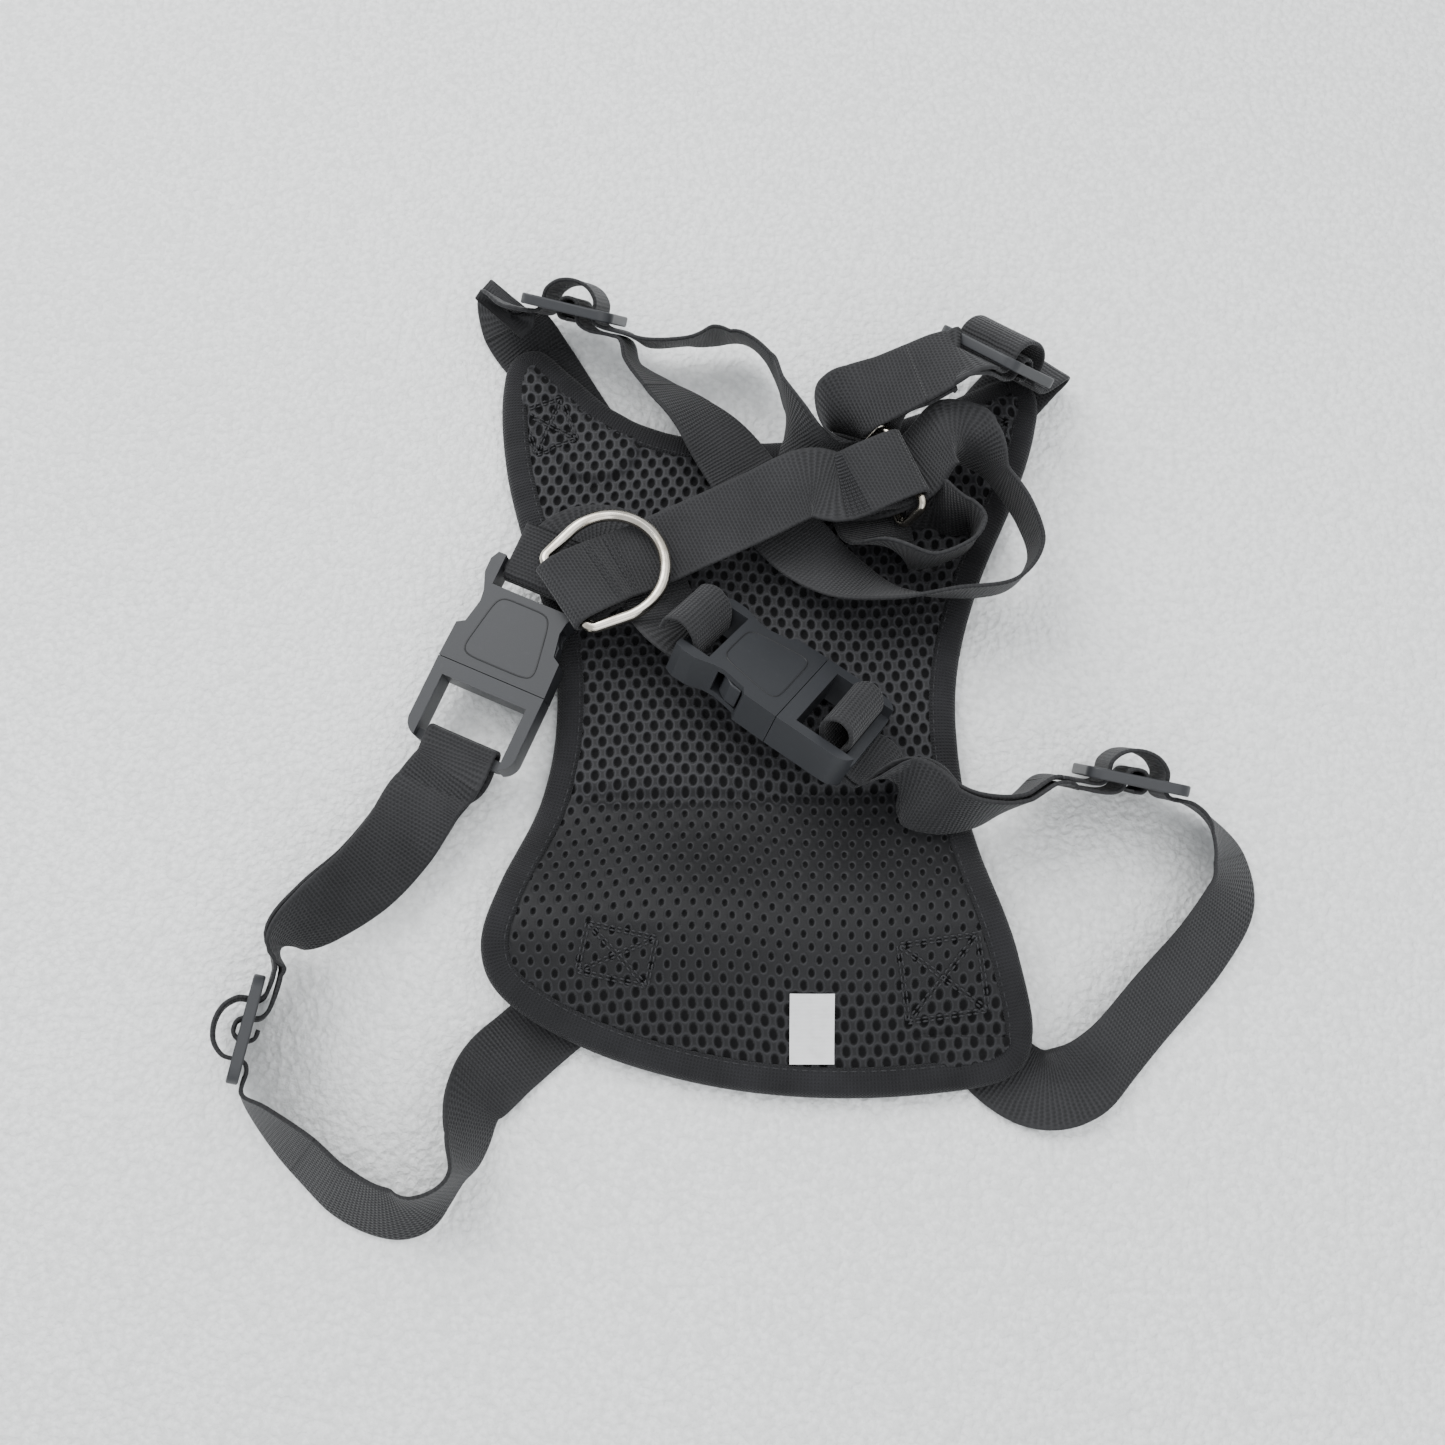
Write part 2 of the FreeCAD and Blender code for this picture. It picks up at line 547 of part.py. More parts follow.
def belly_right():
    frame, side = SLIDERS["belly_right"]
    tail = stations([
        (48, -86, 10.8, 0.8, 0.6, 0.12), (57, -98, 7.0, 0.8, 0.6, 0.3), (65, -109, 2.5, 0.8, 0.6, 0.1),
        (74, -121, 1.2, 0.8, 0.6, 0), (85, -128, 2.0, 0.5, 0.8, 0), (96, -127, 5.8, 0.2, 0.9, 0.25),
        (107, -119, 9.0, -0.2, 0.85, 0.45), (123, -102, 9.0, -0.4, 0.75, 0.5), (139, -85, 9.5, -0.55, 0.6, 0.55),
        (149.5, -69, 11, -0.7, 0.4, 0.65), (149.5, -56, 12.5, -0.65, -0.1, 0.75), (143.5, -45, 14.5, -0.3, -0.3, 0.9)])
    double = stations([
        (90.5, -32.6, 19.2, -0.06, -0.28, 0.955), (80, -39.5, 21.5, -0.05, -0.2, 0.97), (69, -43, 23, 0, 0.1, 0.97),
        (58, -42.5, 24, 0.2, 0.35, 0.85), (48, -37, 24, 0.35, 0.5, 0.6)])
    wrap = male_wrap(BUCKLES["right"], 1, True)
    return ribbon(tail + in_plane(frame, SLIDER_OVER, side) + beside(double, 1) + flipped(wrap)
                  + reversed_route(beside(double, -1)) + in_plane(frame, SLIDER_END, side))


def back_strap():
    """From the D-ring bar to the fold that holds the neck loop; both ends are turned back and sewn."""
    r = d_wire / 2 + web_thick / 2 + bar_clear
    near = in_plane(D_RING, [(15, -r - 0.5), (7, -r - 0.1), (0, -r), (-r, 0), (0, r), (6, r - 0.8), (13, 0.2),
                             (20, -3.0)])
    middle = stations([
        (-40, 44.5, 22.8, -0.46, 0.88, 0), (-24, 52.0, 23.2, -0.4, 0.915, 0), (-4, 60.5, 26.0, -0.4, 0.915, 0),
        (14, 67.5, 30.4, -0.4, 0.915, 0)])
    s = loop_wire / 2 + web_thick / 2 + bar_clear
    far = in_plane(NECK_LOOP, [(-24, s + 0.4), (-11, s + 0.3), (0, s), (s, 0), (0, -s), (-7, -s + 0.5), (-13, 0.8),
                               (-19, 1.2)])
    return ribbon(near + middle + far)


def cross_strap():
    """Joins the two female halves under the D-ring: wrapped on the left bar, rolled on the right one."""
    left, right = BUCKLES["left"], BUCKLES["right"]
    r = bar_height / 2 + web_thick / 2 + bar_clear
    u = bar_size / 2
    start = in_plane(left, [(-14, r + 0.4), (-6, r), (u, r), (u + 3.4, r - 0.4), (u + 4.4, 0),
                            (u + 3.4, -r + 0.4), (u, -r), (-8, -r)])
    middle = stations([
        (-64, 55, 11.6, 0.75, -0.65, 0), (-52, 55, 11.0, 0.2, -0.98, 0), (-42, 45, 12.0, -0.65, -0.75, 0),
        (-36.5, 33, 15.5, -0.75, -0.6, 0.3)])
    roll = in_plane(right, [(-8, -r), (u, -r), (u + 3.6, -r + 0.9), (u + 3.8, 2), (u + 1.6, 7.5), (u - 4, 10.5),
                            (u - 9, 8.4), (u - 10, 3.6)])
    return ribbon(start + middle + flipped(roll))


def main():
    os.makedirs("parts", exist_ok=True)
    pieces, top = pad_layers()
    pieces["corner_stitching"] = corner_stitching(top)
    pieces["size_label"] = size_label(top)
    pieces["shoulder_strap_left"] = shoulder_left()
    pieces["shoulder_strap_right"] = shoulder_right()
    pieces["belly_strap_left"] = belly_left()
    pieces["belly_strap_right"] = belly_right()
    pieces["back_strap"] = back_strap()
    pieces["cross_strap"] = cross_strap()
    pieces["d_ring"] = d_ring()
    pieces["neck_loop"] = neck_loop()
    for name, (frame, _) in SLIDERS.items():
        pieces["slider_" + name] = frame.place(slider())
    for name, frame in BUCKLES.items():
        pieces["buckle_female_" + name] = frame.place(female_half())
        pieces["buckle_male_" + name] = frame.place(male_half())
        pieces["prong_%s_inner" % name] = frame.place(prong(1))
        pieces["prong_%s_outer" % name] = frame.place(prong(-1))
    for name, shape in pieces.items():
        print(name, "solids", len(shape.Solids), "volume %.0f" % shape.Volume, "valid", shape.isValid())
        shape.exportStep("parts/%s.step" % name)


main()
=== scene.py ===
"""Finish and studio for a padded chest harness: air-mesh pad, woven straps, buckles, sliders and rings.

Lengths in the tables are millimetres and are turned into metres by MM where a mesh is made.
"""

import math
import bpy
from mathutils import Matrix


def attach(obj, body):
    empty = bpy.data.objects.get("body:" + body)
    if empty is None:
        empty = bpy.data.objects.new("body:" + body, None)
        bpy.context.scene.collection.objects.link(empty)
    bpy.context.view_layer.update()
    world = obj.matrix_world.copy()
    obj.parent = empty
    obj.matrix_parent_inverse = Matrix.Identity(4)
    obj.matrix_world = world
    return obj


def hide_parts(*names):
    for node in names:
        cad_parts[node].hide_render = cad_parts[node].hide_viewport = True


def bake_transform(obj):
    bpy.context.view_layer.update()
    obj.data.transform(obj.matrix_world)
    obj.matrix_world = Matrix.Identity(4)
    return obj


bl_info = {
    "name": "Padded chest harness",
    "version": (1, 0, 0),
    "blender": (4, 5, 0),
    "location": "View3D > Sidebar > Harness",
    "description": "Makes the pad, the webbing, the stitching and the finishes of a padded chest harness",
    "category": "Object",
}

import bpy
import numpy as np
from mathutils import Vector

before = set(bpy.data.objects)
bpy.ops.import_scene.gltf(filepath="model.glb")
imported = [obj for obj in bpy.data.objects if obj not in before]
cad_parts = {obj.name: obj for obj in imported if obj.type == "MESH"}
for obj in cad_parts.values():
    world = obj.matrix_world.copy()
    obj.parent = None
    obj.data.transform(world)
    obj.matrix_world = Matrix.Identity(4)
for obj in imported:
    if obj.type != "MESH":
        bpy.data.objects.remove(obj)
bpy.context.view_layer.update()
MM = 0.001
TURN = 2 * math.pi

# ---- the pad's plan and the places of the hardware, as the frame has them ----

PAD_OUTLINE = np.array([
    (-2, 95), (-30, 98), (-52, 107), (-68, 121), (-80, 131), (-90, 127), (-93, 110), (-90, 82),
    (-82, 52), (-72, 20), (-70, -10), (-74, -35), (-85, -64), (-90, -86), (-82, -102), (-55, -117),
    (-20, -127), (15, -131), (50, -130), (76, -125), (84, -112), (79, -88), (70, -55), (65, -20),
    (66, 10), (75, 42), (89, 74), (97, 98), (98, 114), (88, 120), (60, 108), (28, 98)], float)
TAILS = [((-60, 96), (-88, 140)), ((66, 88), (104, 132)), ((-58, -98), (-104, -136)), ((58, -103), (90, -145))]
STITCH_PATCHES = [(-75.5, 100, 15, 17, 20), (77.5, 95, 17, 18, -15), (-47, -88, 22, 15, -12), (55, -95, 25, 23, 8)]
LABEL_PLACE = (14.0, -110.5)
LABEL_SIZE = (14.0, 21.0)
CREASE_Y = -34.0
DOME_END = -127.0
DOME_HEIGHT = 14.0
PAD_TOP = 7.7
TAPE_TOP = 7.9              # of the binding, over the arch
TAIL_ROOM = 2.1             # how far the edge is lifted over a strap tail
ARCH_CLEAR = 3.0            # where the arch is higher than this it leaves room for the tail by itself
BINDING_REACH = 9.0
DRIFT_WAVE = (19.0, 16.0)   # the rows of mesh holes wander as slow sines, of this length over TURN
DRIFT_SIZE = (1.3, 1.6)     # and by this much
HOLE_DEPTH = 1.1
MESH_STEP = 0.62            # grid of the mesh face
TUCK = (7.0, 10.2)          # insets where the mesh face ends, and where it starts to dip under the tape


def unit(v):
    """A vector, or rows of vectors, of length one."""
    v = np.asarray(v, float)
    return v / np.maximum(np.linalg.norm(v, axis=-1, keepdims=True), 1e-9)


def square_frame(origin, u, v):
    """Origin and three square directions: u along, v across, n = u x v."""
    u = unit(u)
    v = np.asarray(v, float)
    v = unit(v - u * v.dot(u))
    return np.asarray(origin, float), u, v, np.cross(u, v)


SLIDERS = {
    "neck_left": (square_frame((-66, 138.5, 21), (0.966, -0.26, 0), (-0.127, -0.472, 0.872)), -1),
    "neck_right": (square_frame((81, 116.7, 27), (-0.618, -0.176, 0.766), (0.658, -0.649, 0.382)), 1),
    "belly_left": (square_frame((-161.5, -111, 18), (0.18, 0.98, 0), (0.30, -0.055, 0.952)), -1),
    "belly_right": (square_frame((117.7, -31.5, 18.5), (-0.978, 0.21, 0), (-0.06, -0.279, 0.958)), 1),
}
BUCKLES = {
    "left": square_frame((-73.9, 39.9, 16.8), (-0.40, -0.915, -0.06), (0.915, -0.40, 0)),
    "right": square_frame((-22.7, 17.1, 24), (0.816, -0.578, 0), (0.480, 0.678, -0.556)),
}
D_RING = square_frame((-65.5, 29.4, 27.2), (0.835, 0.55, 0.0), (-0.55, 0.835, 0))
NECK_LOOP = square_frame((47.4, 75.4, 27.5), (0.917, 0.40, 0), (-0.40, 0.917, 0))
BUCKLE_LENGTH = 68.0
LINE_MIDDLE, LINE_REACH = 25.2, 11.3     # moulded line on a female face: its middle and half length
LINE_START, LINE_HALF, LINE_FLARE = 14.0, 9.4, 4.0 / 22.5   # half width at the start, and its growth from there
LINE_POWER, LINE_LIFT = 0.32, 5.97
BAR_SIZE = 3.6
BAR_HEIGHT = 4.0
WEB_THICK = 1.4
WEB_GAP = 0.8
BAR_CLEAR = 0.9
MAIN_RUN = 1.8 + WEB_THICK / 2 + 0.9
END_RUN = MAIN_RUN + WEB_THICK + WEB_GAP
SLIDER_OVER = [(-19, -MAIN_RUN - 0.3), (-12.2, -MAIN_RUN), (-9.6, -1.9), (-9.2, 1.2), (-8.6, 5.0), (-5.2, 8.4),
               (0, 9.6), (5.2, 8.4), (8.6, 5.0), (9.2, 1.2), (9.6, -1.9), (12.2, -MAIN_RUN),
               (19, -MAIN_RUN - 0.3)]
SLIDER_END = [(19, -END_RUN - 0.3), (9, -END_RUN), (4.6, -4.0), (3.5, -1.0), (3.3, 1.2), (2.0, 3.1), (0, 3.6),
              (-2.0, 3.1), (-3.3, 1.2), (-3.5, -1.0), (-2.2, -3.2), (0.4, -3.6)]


# ---- curves ----

def catmull(values, t):
    """Catmull-Rom curve through rows of values at the places t, counted in rows, ends carried on straight."""
    v = np.vstack([2 * values[0] - values[1], values, 2 * values[-1] - values[-2]])
    i = np.clip(t.astype(int), 0, len(values) - 2)
    f = (t - i)[:, None]
    p0, p1, p2, p3 = v[i], v[i + 1], v[i + 2], v[i + 3]
    return 0.5 * (2 * p1 + (p2 - p0) * f + (2 * p0 - 5 * p1 + 4 * p2 - p3) * f ** 2
                  + (3 * p1 - p0 - 3 * p2 + p3) * f ** 3)


def rails(route, t):
    """Middle, width direction and face normal of a route at the places t; the width is kept square to the path."""
    points, widths = route[:, :3], unit(route[:, 3:])
    last = len(route) - 1
    along = unit(catmull(points, np.minimum(t + 0.01, last)) - catmull(points, np.maximum(t - 0.01, 0)))
    w = catmull(widths, t)
    w = unit(w - along * np.sum(w * along, axis=1, keepdims=True))
    return catmull(points, t), w, np.cross(along, w)


def rows(table):
    """A table of x, y, z and a width direction, as route rows."""
    return np.array(table, float)


def in_plane(place, path, side=1):
    """A path of (along, off the face) pairs in a frame's own plane, with the width along its v."""
    o, u, v, n = place
    path = np.array(path, float)
    points = o + path[:, :1] * u + path[:, 1:] * n * side
    return np.hstack([points, np.tile(v, (len(path), 1))])


def beside(route, side):
    """The same route moved to one face by half the step between two layers."""
    middle, w, n = rails(route, np.arange(len(route), dtype=float))
    return np.hstack([middle + n * (WEB_THICK + WEB_GAP) / 2 * side, route[:, 3:]])


def flipped(route):
    return np.hstack([route[:, :3], -route[:, 3:]])


def outline(count, inset):
    """The pad's plan as a ring: a closed smooth curve through the plan's points, moved in along its normal."""
    n = len(PAD_OUTLINE)
    loop = np.vstack([PAD_OUTLINE[-2:], PAD_OUTLINE, PAD_OUTLINE[:3]])
    t = np.arange(count) * n / count + 2
    p = catmull(loop, t)
    d = unit(catmull(loop, t + 0.02) - catmull(loop, t - 0.02))
    return p + np.stack([-d[:, 1], d[:, 0]], axis=1) * inset


# ---- heights of the pad ----

def arch(y):
    """Rise of the belly end: one cosine hump from the crease to the edge, 0 elsewhere."""
    s = np.clip((CREASE_Y - y) / (CREASE_Y - DOME_END), 0, 1)
    return DOME_HEIGHT * 0.5 * (1 - np.cos(TURN * s))


def tail_room(x, y):
    """Rise of the underside over a strap tail that lies under the edge, fading out beside it; none in the arch."""
    lift = np.zeros_like(x)
    for (x0, y0), (x1, y1) in TAILS:
        dx, dy = x1 - x0, y1 - y0
        along = np.clip(((x - x0) * dx + (y - y0) * dy) / (dx * dx + dy * dy), -0.05, 1)
        away = np.hypot(x - x0 - dx * along, y - y0 - dy * along)
        lift = np.maximum(lift, TAIL_ROOM * smooth(16.5, 13.0, away))
    return np.where(arch(y) > ARCH_CLEAR, 0, lift)


def underside(x, y):
    return arch(y) + tail_room(x, y)


def smooth(start, end, x):
    """0 at the start and 1 at the end, with an S-curve between."""
    t = np.clip((x - start) / (end - start), 0, 1)
    return t * t * (3 - 2 * t)


def patch_depth(x, y):
    """How far each sewn box is drawn down into the foam: 1 inside it and 0 some way outside."""
    depth = np.zeros_like(x)
    for px, py, width, height, degrees in STITCH_PATCHES:
        a = math.radians(degrees)
        u = (x - px) * math.cos(a) + (y - py) * math.sin(a)
        v = -(x - px) * math.sin(a) + (y - py) * math.cos(a)
        away = np.maximum(np.abs(u) - width / 2, np.abs(v) - height / 2)
        depth = np.maximum(depth, smooth(5.0, -1.0, away))
    return depth


def pad_top(x, y):
    """Top of the mesh: underside plus the foam, with a folded crease, soft wrinkles and drawn-down sewn boxes."""
    crease = np.exp(-((y - CREASE_Y - 1.5 * np.sin(x / 22)) / 2.6) ** 2) * smooth(74, 52, np.abs(x))
    ridge = np.exp(-((y - CREASE_Y - 8 - 1.5 * np.sin(x / 22)) / 6.0) ** 2) * smooth(70, 40, np.abs(x))
    dent = np.exp(-(((x + 3) / 17) ** 2 + ((y - 33) / 9) ** 2))
    fold = np.exp(-((y - 37 - 0.12 * (x + 3) ** 2 / 9) / 3.2) ** 2) * smooth(32, 10, np.abs(x + 3))
    waves = 0.35 * np.sin(x / 13 + 0.8) * np.sin(y / 19 + 0.4) + 0.2 * np.sin((x + y) / 8.5)
    return (underside(x, y) + PAD_TOP - 2.0 * crease + 0.8 * ridge - 1.6 * dent + 0.7 * fold + waves
            - 0.9 * patch_depth(x, y))


def hole_depth(x, y, look):
    """Depth of the mesh holes: ovals on two lattices half a step apart, 0 on the yarn and HOLE_DEPTH in a hole."""
    belly, near = smooth(-30, -44, y), smooth(-88, -104, y)
    size = 1 - 0.34 * (belly - near)
    px = x + DRIFT_SIZE[0] * np.sin(y / DRIFT_WAVE[0])
    py = y + DRIFT_SIZE[1] * np.sin(x / DRIFT_WAVE[1])
    pitch = (look.hole_pitch / MM, look.hole_row * 2 / MM)
    half = (look.hole_width / 2 / MM, look.hole_height / 2 / MM)
    away = np.minimum(*[np.hypot(((px / pitch[0] + k) % 1 - 0.5) * pitch[0] / half[0],
                                 ((py / pitch[1] + k) % 1 - 0.5) * pitch[1] / half[1]) for k in (0.0, 0.5)]) / size
    return HOLE_DEPTH * smooth(1.18, 0.72, away)


def reach_at(angle, inset):
    """Distance from the middle to the plan's ring at an inset, in each direction."""
    ring = outline(1200, inset)
    turn = np.arctan2(ring[:, 1], ring[:, 0])
    order = np.argsort(turn)
    return np.interp(angle, turn[order], np.hypot(ring[:, 0], ring[:, 1])[order], period=TURN)


# ---- meshes ----

def mesh_object(name, vertices, faces, uv=None, material=None):
    """A mesh object at the origin from vertices in millimetres and faces, an array of quads or a list of rings.

    uv is one pair per vertex, in metres.
    """
    mesh = bpy.data.meshes.new(name)
    faces = faces.tolist() if isinstance(faces, np.ndarray) else faces
    mesh.from_pydata((np.asarray(vertices) * MM).tolist(), [], faces)
    if uv is not None:
        layer = mesh.uv_layers.new(name="run")
        index = np.empty(len(mesh.loops), np.int32)
        mesh.loops.foreach_get("vertex_index", index)
        layer.data.foreach_set("uv", np.asarray(uv, np.float32)[index].ravel())
    mesh.polygons.foreach_set("use_smooth", np.ones(len(mesh.polygons), bool))
    mesh.update()
    obj = bpy.data.objects.new(name, mesh)
    bpy.context.scene.collection.objects.link(obj)
    if material is not None:
        mesh.materials.append(material)
    return obj


def grid_faces(count_a, count_b, wrap_a=False, wrap_b=False, flip=False):
    """Quads of a grid of count_a by count_b points, joined round where it wraps."""
    a = np.arange(count_a if wrap_a else count_a - 1)
    b = np.arange(count_b if wrap_b else count_b - 1)
    i, j = np.meshgrid(a, b, indexing="ij")
    i, j = i.ravel(), j.ravel()
    i1, j1 = (i + 1) % count_a, (j + 1) % count_b
    quads = np.stack([i * count_b + j, i1 * count_b + j, i1 * count_b + j1, i * count_b + j1], axis=1)
    return quads[:, ::-1] if flip else quads


SECTION = np.array([
    (12.5, 0.0), (12.35, 0.42), (11.9, 0.66), (11.0, 0.66), (8.5, 0.62), (4.5, 0.60), (0.0, 0.60), (-4.5, 0.60),
    (-8.5, 0.62), (-11.0, 0.66), (-11.9, 0.66), (-12.35, 0.42), (-12.5, 0.0), (-12.35, -0.42), (-11.9, -0.66),
    (-11.0, -0.66), (-8.5, -0.62), (-4.5, -0.60), (0.0, -0.60), (4.5, -0.60), (8.5, -0.62), (11.0, -0.66),
    (11.9, -0.66), (12.35, -0.42)])


def webbing(name, route, first, last, material):
    """A length of strap: the woven section carried along the route from one row to another, with closed ends.

    Each ring is middle + width * across + normal * up. The run's length and the place across are its uv.
    """
    count = max(int((last - first) * 9) + 1, 4)
    t = np.linspace(first, last, count)
    middle, w, n = rails(route, t)
    fine = np.linspace(0, len(route) - 1, 400)
    travel = catmull(route[:, :3], fine)
    travel = np.concatenate([[0], np.cumsum(np.linalg.norm(np.diff(travel, axis=0), axis=1))])
    length = np.interp(t, fine, travel)
    ripple = 0.03 * np.sin(length / 5.3) + 0.02 * np.sin(length / 2.9 + 1)
    across, up = SECTION[:, 0], SECTION[:, 1]
    ring = (middle[:, None] + w[:, None] * across[None, :, None]
            + n[:, None] * (up[None, :, None] + (ripple[:, None] * (across / 12.5) ** 2)[:, :, None]))
    k = len(SECTION)
    faces = grid_faces(count, k, wrap_b=True, flip=True).tolist()
    faces += [list(range(k)), list(range((count - 1) * k, count * k))[::-1]]
    uv = np.stack([np.repeat(length, k), np.tile(across, count)], axis=1) * MM
    obj = mesh_object(name, ring.reshape(-1, 3), faces, uv, material)
    return obj


def thread_dashes(name, starts, ends, lift, radius, material, body="harness", ups=None):
    """Stitches: each is a six-sided spindle from its start to its end, arched by a half sine."""
    starts, ends = np.asarray(starts, float), np.asarray(ends, float)
    count = len(starts)
    along = unit(ends - starts)
    up = np.tile((0.0, 0.0, 1.0), (count, 1)) if ups is None else unit(ups)
    side = unit(np.cross(along, up))
    up = np.cross(side, along)
    t = np.linspace(0, 1, 5)
    a = np.arange(6) * TURN / 6
    bulge = radius * (0.35 + 0.65 * np.sin(math.pi * t) ** 0.6)
    arch = lift * np.sin(math.pi * t)
    middle = starts[:, None] + (ends - starts)[:, None] * t[None, :, None] + up[:, None] * arch[None, :, None]
    ring = (middle[:, :, None]
            + side[:, None, None] * (np.cos(a)[None, None, :] * bulge[None, :, None])[..., None]
            + up[:, None, None] * (np.sin(a)[None, None, :] * bulge[None, :, None])[..., None])
    one = grid_faces(5, 6, wrap_b=True)
    faces = (one[None] + (np.arange(count) * 30)[:, None, None]).reshape(-1, 4)
    obj = mesh_object(name, ring.reshape(-1, 3), faces, material=material)
    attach(obj, body)
    return obj


# ---- finishes ----

class Finish:
    """A material made of nodes; math() and mix() take numbers or sockets and return sockets."""

    def __init__(self, name):
        self.material = bpy.data.materials.new(name)
        self.material.use_nodes = True
        self.tree = self.material.node_tree
        self.shader = self.tree.nodes["Principled BSDF"]

    def node(self, kind, **sockets):
        made = self.tree.nodes.new(kind)
        for key, value in sockets.items():
            self.feed(made.inputs[key.replace("_", " ")], value)
        return made

    def feed(self, socket, value):
        if isinstance(value, bpy.types.NodeSocket):
            self.tree.links.new(value, socket)
        else:
            socket.default_value = value

    def math(self, operation, a, b=0.0, c=0.0):
        made = self.tree.nodes.new("ShaderNodeMath")
        made.operation = operation
        for socket, value in zip(made.inputs, (a, b, c)):
            self.feed(socket, value)
        return made.outputs[0]

    def between(self, value, low, high):
        """Smooth step of a value from low to high."""
        made = self.tree.nodes.new("ShaderNodeMapRange")
        made.interpolation_type = "SMOOTHSTEP"
        for key, number in (("Value", value), ("From Min", low), ("From Max", high)):
            self.feed(made.inputs[key], number)
        return made.outputs[0]

    def colours(self, factor, low, high):
        """A colour between two by a factor."""
        made = self.tree.nodes.new("ShaderNodeMix")
        made.data_type = "RGBA"
        self.feed(made.inputs[0], factor)
        made.inputs[6].default_value = (*low, 1)
        made.inputs[7].default_value = (*high, 1)
        return made.outputs[2]

    def noise(self, vector, scale, detail=3.0):
        made = self.node("ShaderNodeTexNoise", Vector=vector, Scale=scale, Detail=detail)
        return made.outputs[0]

    def place(self):
        """Object coordinates, in metres."""
        return self.tree.nodes.new("ShaderNodeTexCoord").outputs["Object"]

    def run(self):
        """The strap's own length and width coordinates, in metres."""
        made = self.tree.nodes.new("ShaderNodeUVMap")
        made.uv_map = "run"
        return made.outputs[0]

    def apart(self, vector):
        return self.node("ShaderNodeSeparateXYZ", Vector=vector).outputs

    def bump(self, height, strength, distance, under=None):
        made = self.node("ShaderNodeBump", Height=height, Strength=strength, Distance=distance)
        if under is not None:
            self.feed(made.inputs["Normal"], under)
        return made.outputs[0]

    def done(self, colour, roughness, normal=None, **constants):
        self.feed(self.shader.inputs["Base Color"], colour)
        self.feed(self.shader.inputs["Roughness"], roughness)
        if normal is not None:
            self.feed(self.shader.inputs["Normal"], normal)
        for key, value in constants.items():
            self.shader.inputs[key.replace("_", " ")].default_value = value
        return self.material


def kept(name):
    """The finish of that name, if it is made already."""
    return bpy.data.materials.get(name)


def webbing_finish():
    """Cross ribs along the run, a finer warp across them, a smooth selvedge and worn, slightly paler patches; the
    rib height also darkens the colour between the ribs, as painted shade.
    """
    if kept("charcoal webbing"):
        return kept("charcoal webbing")
    look = bpy.context.scene.harness_looks
    f = Finish("charcoal webbing")
    length, across, _ = f.apart(f.run())
    wander = f.math("MULTIPLY", f.noise(f.place(), 260.0, 2.0), 0.0006)
    rib = f.math("SINE", f.math("MULTIPLY", f.math("ADD", length, wander), TURN / look.rib_pitch))
    half = f.math("SINE", f.math("MULTIPLY", length, math.pi / look.rib_pitch))
    shift = f.math("MULTIPLY", f.math("SIGN", half), math.pi / 2)
    warp = f.math("SINE", f.math("ADD", f.math("MULTIPLY", across, TURN / 0.0013), shift))
    edge = f.between(f.math("ABSOLUTE", across), 0.0106, 0.0117)
    plain = f.math("SUBTRACT", 1.0, edge)
    height = f.math("ADD", f.math("MULTIPLY", rib, 0.55), f.math("MULTIPLY", warp, 0.3))
    height = f.math("MULTIPLY", height, f.math("ADD", 0.35, f.math("MULTIPLY", plain, 0.65)))
    wear = f.noise(f.place(), 42.0, 4.0)
    fluff = f.noise(f.place(), 1500.0, 2.0)
    # the rib height in the colour is painted shade between the ribs; the wear and fluff noise are the webbing's own
    # tone
    level = f.math("ADD", f.math("MULTIPLY", height, 0.28), f.math("MULTIPLY", wear, 0.75))
    level = f.math("ADD", level, f.math("MULTIPLY", fluff, 0.25))
    colour = f.colours(f.between(level, 0.05, 1.0), look.webbing_dark, look.webbing_light)
    normal = f.bump(height, 0.75, 0.00035, f.bump(fluff, 0.25, 0.0002))
    rough = f.math("ADD", 0.62, f.math("MULTIPLY", wear, 0.2))
    return f.done(colour, rough, normal, Sheen_Weight=0.12, Sheen_Roughness=0.45, Specular_IOR_Level=0.3)


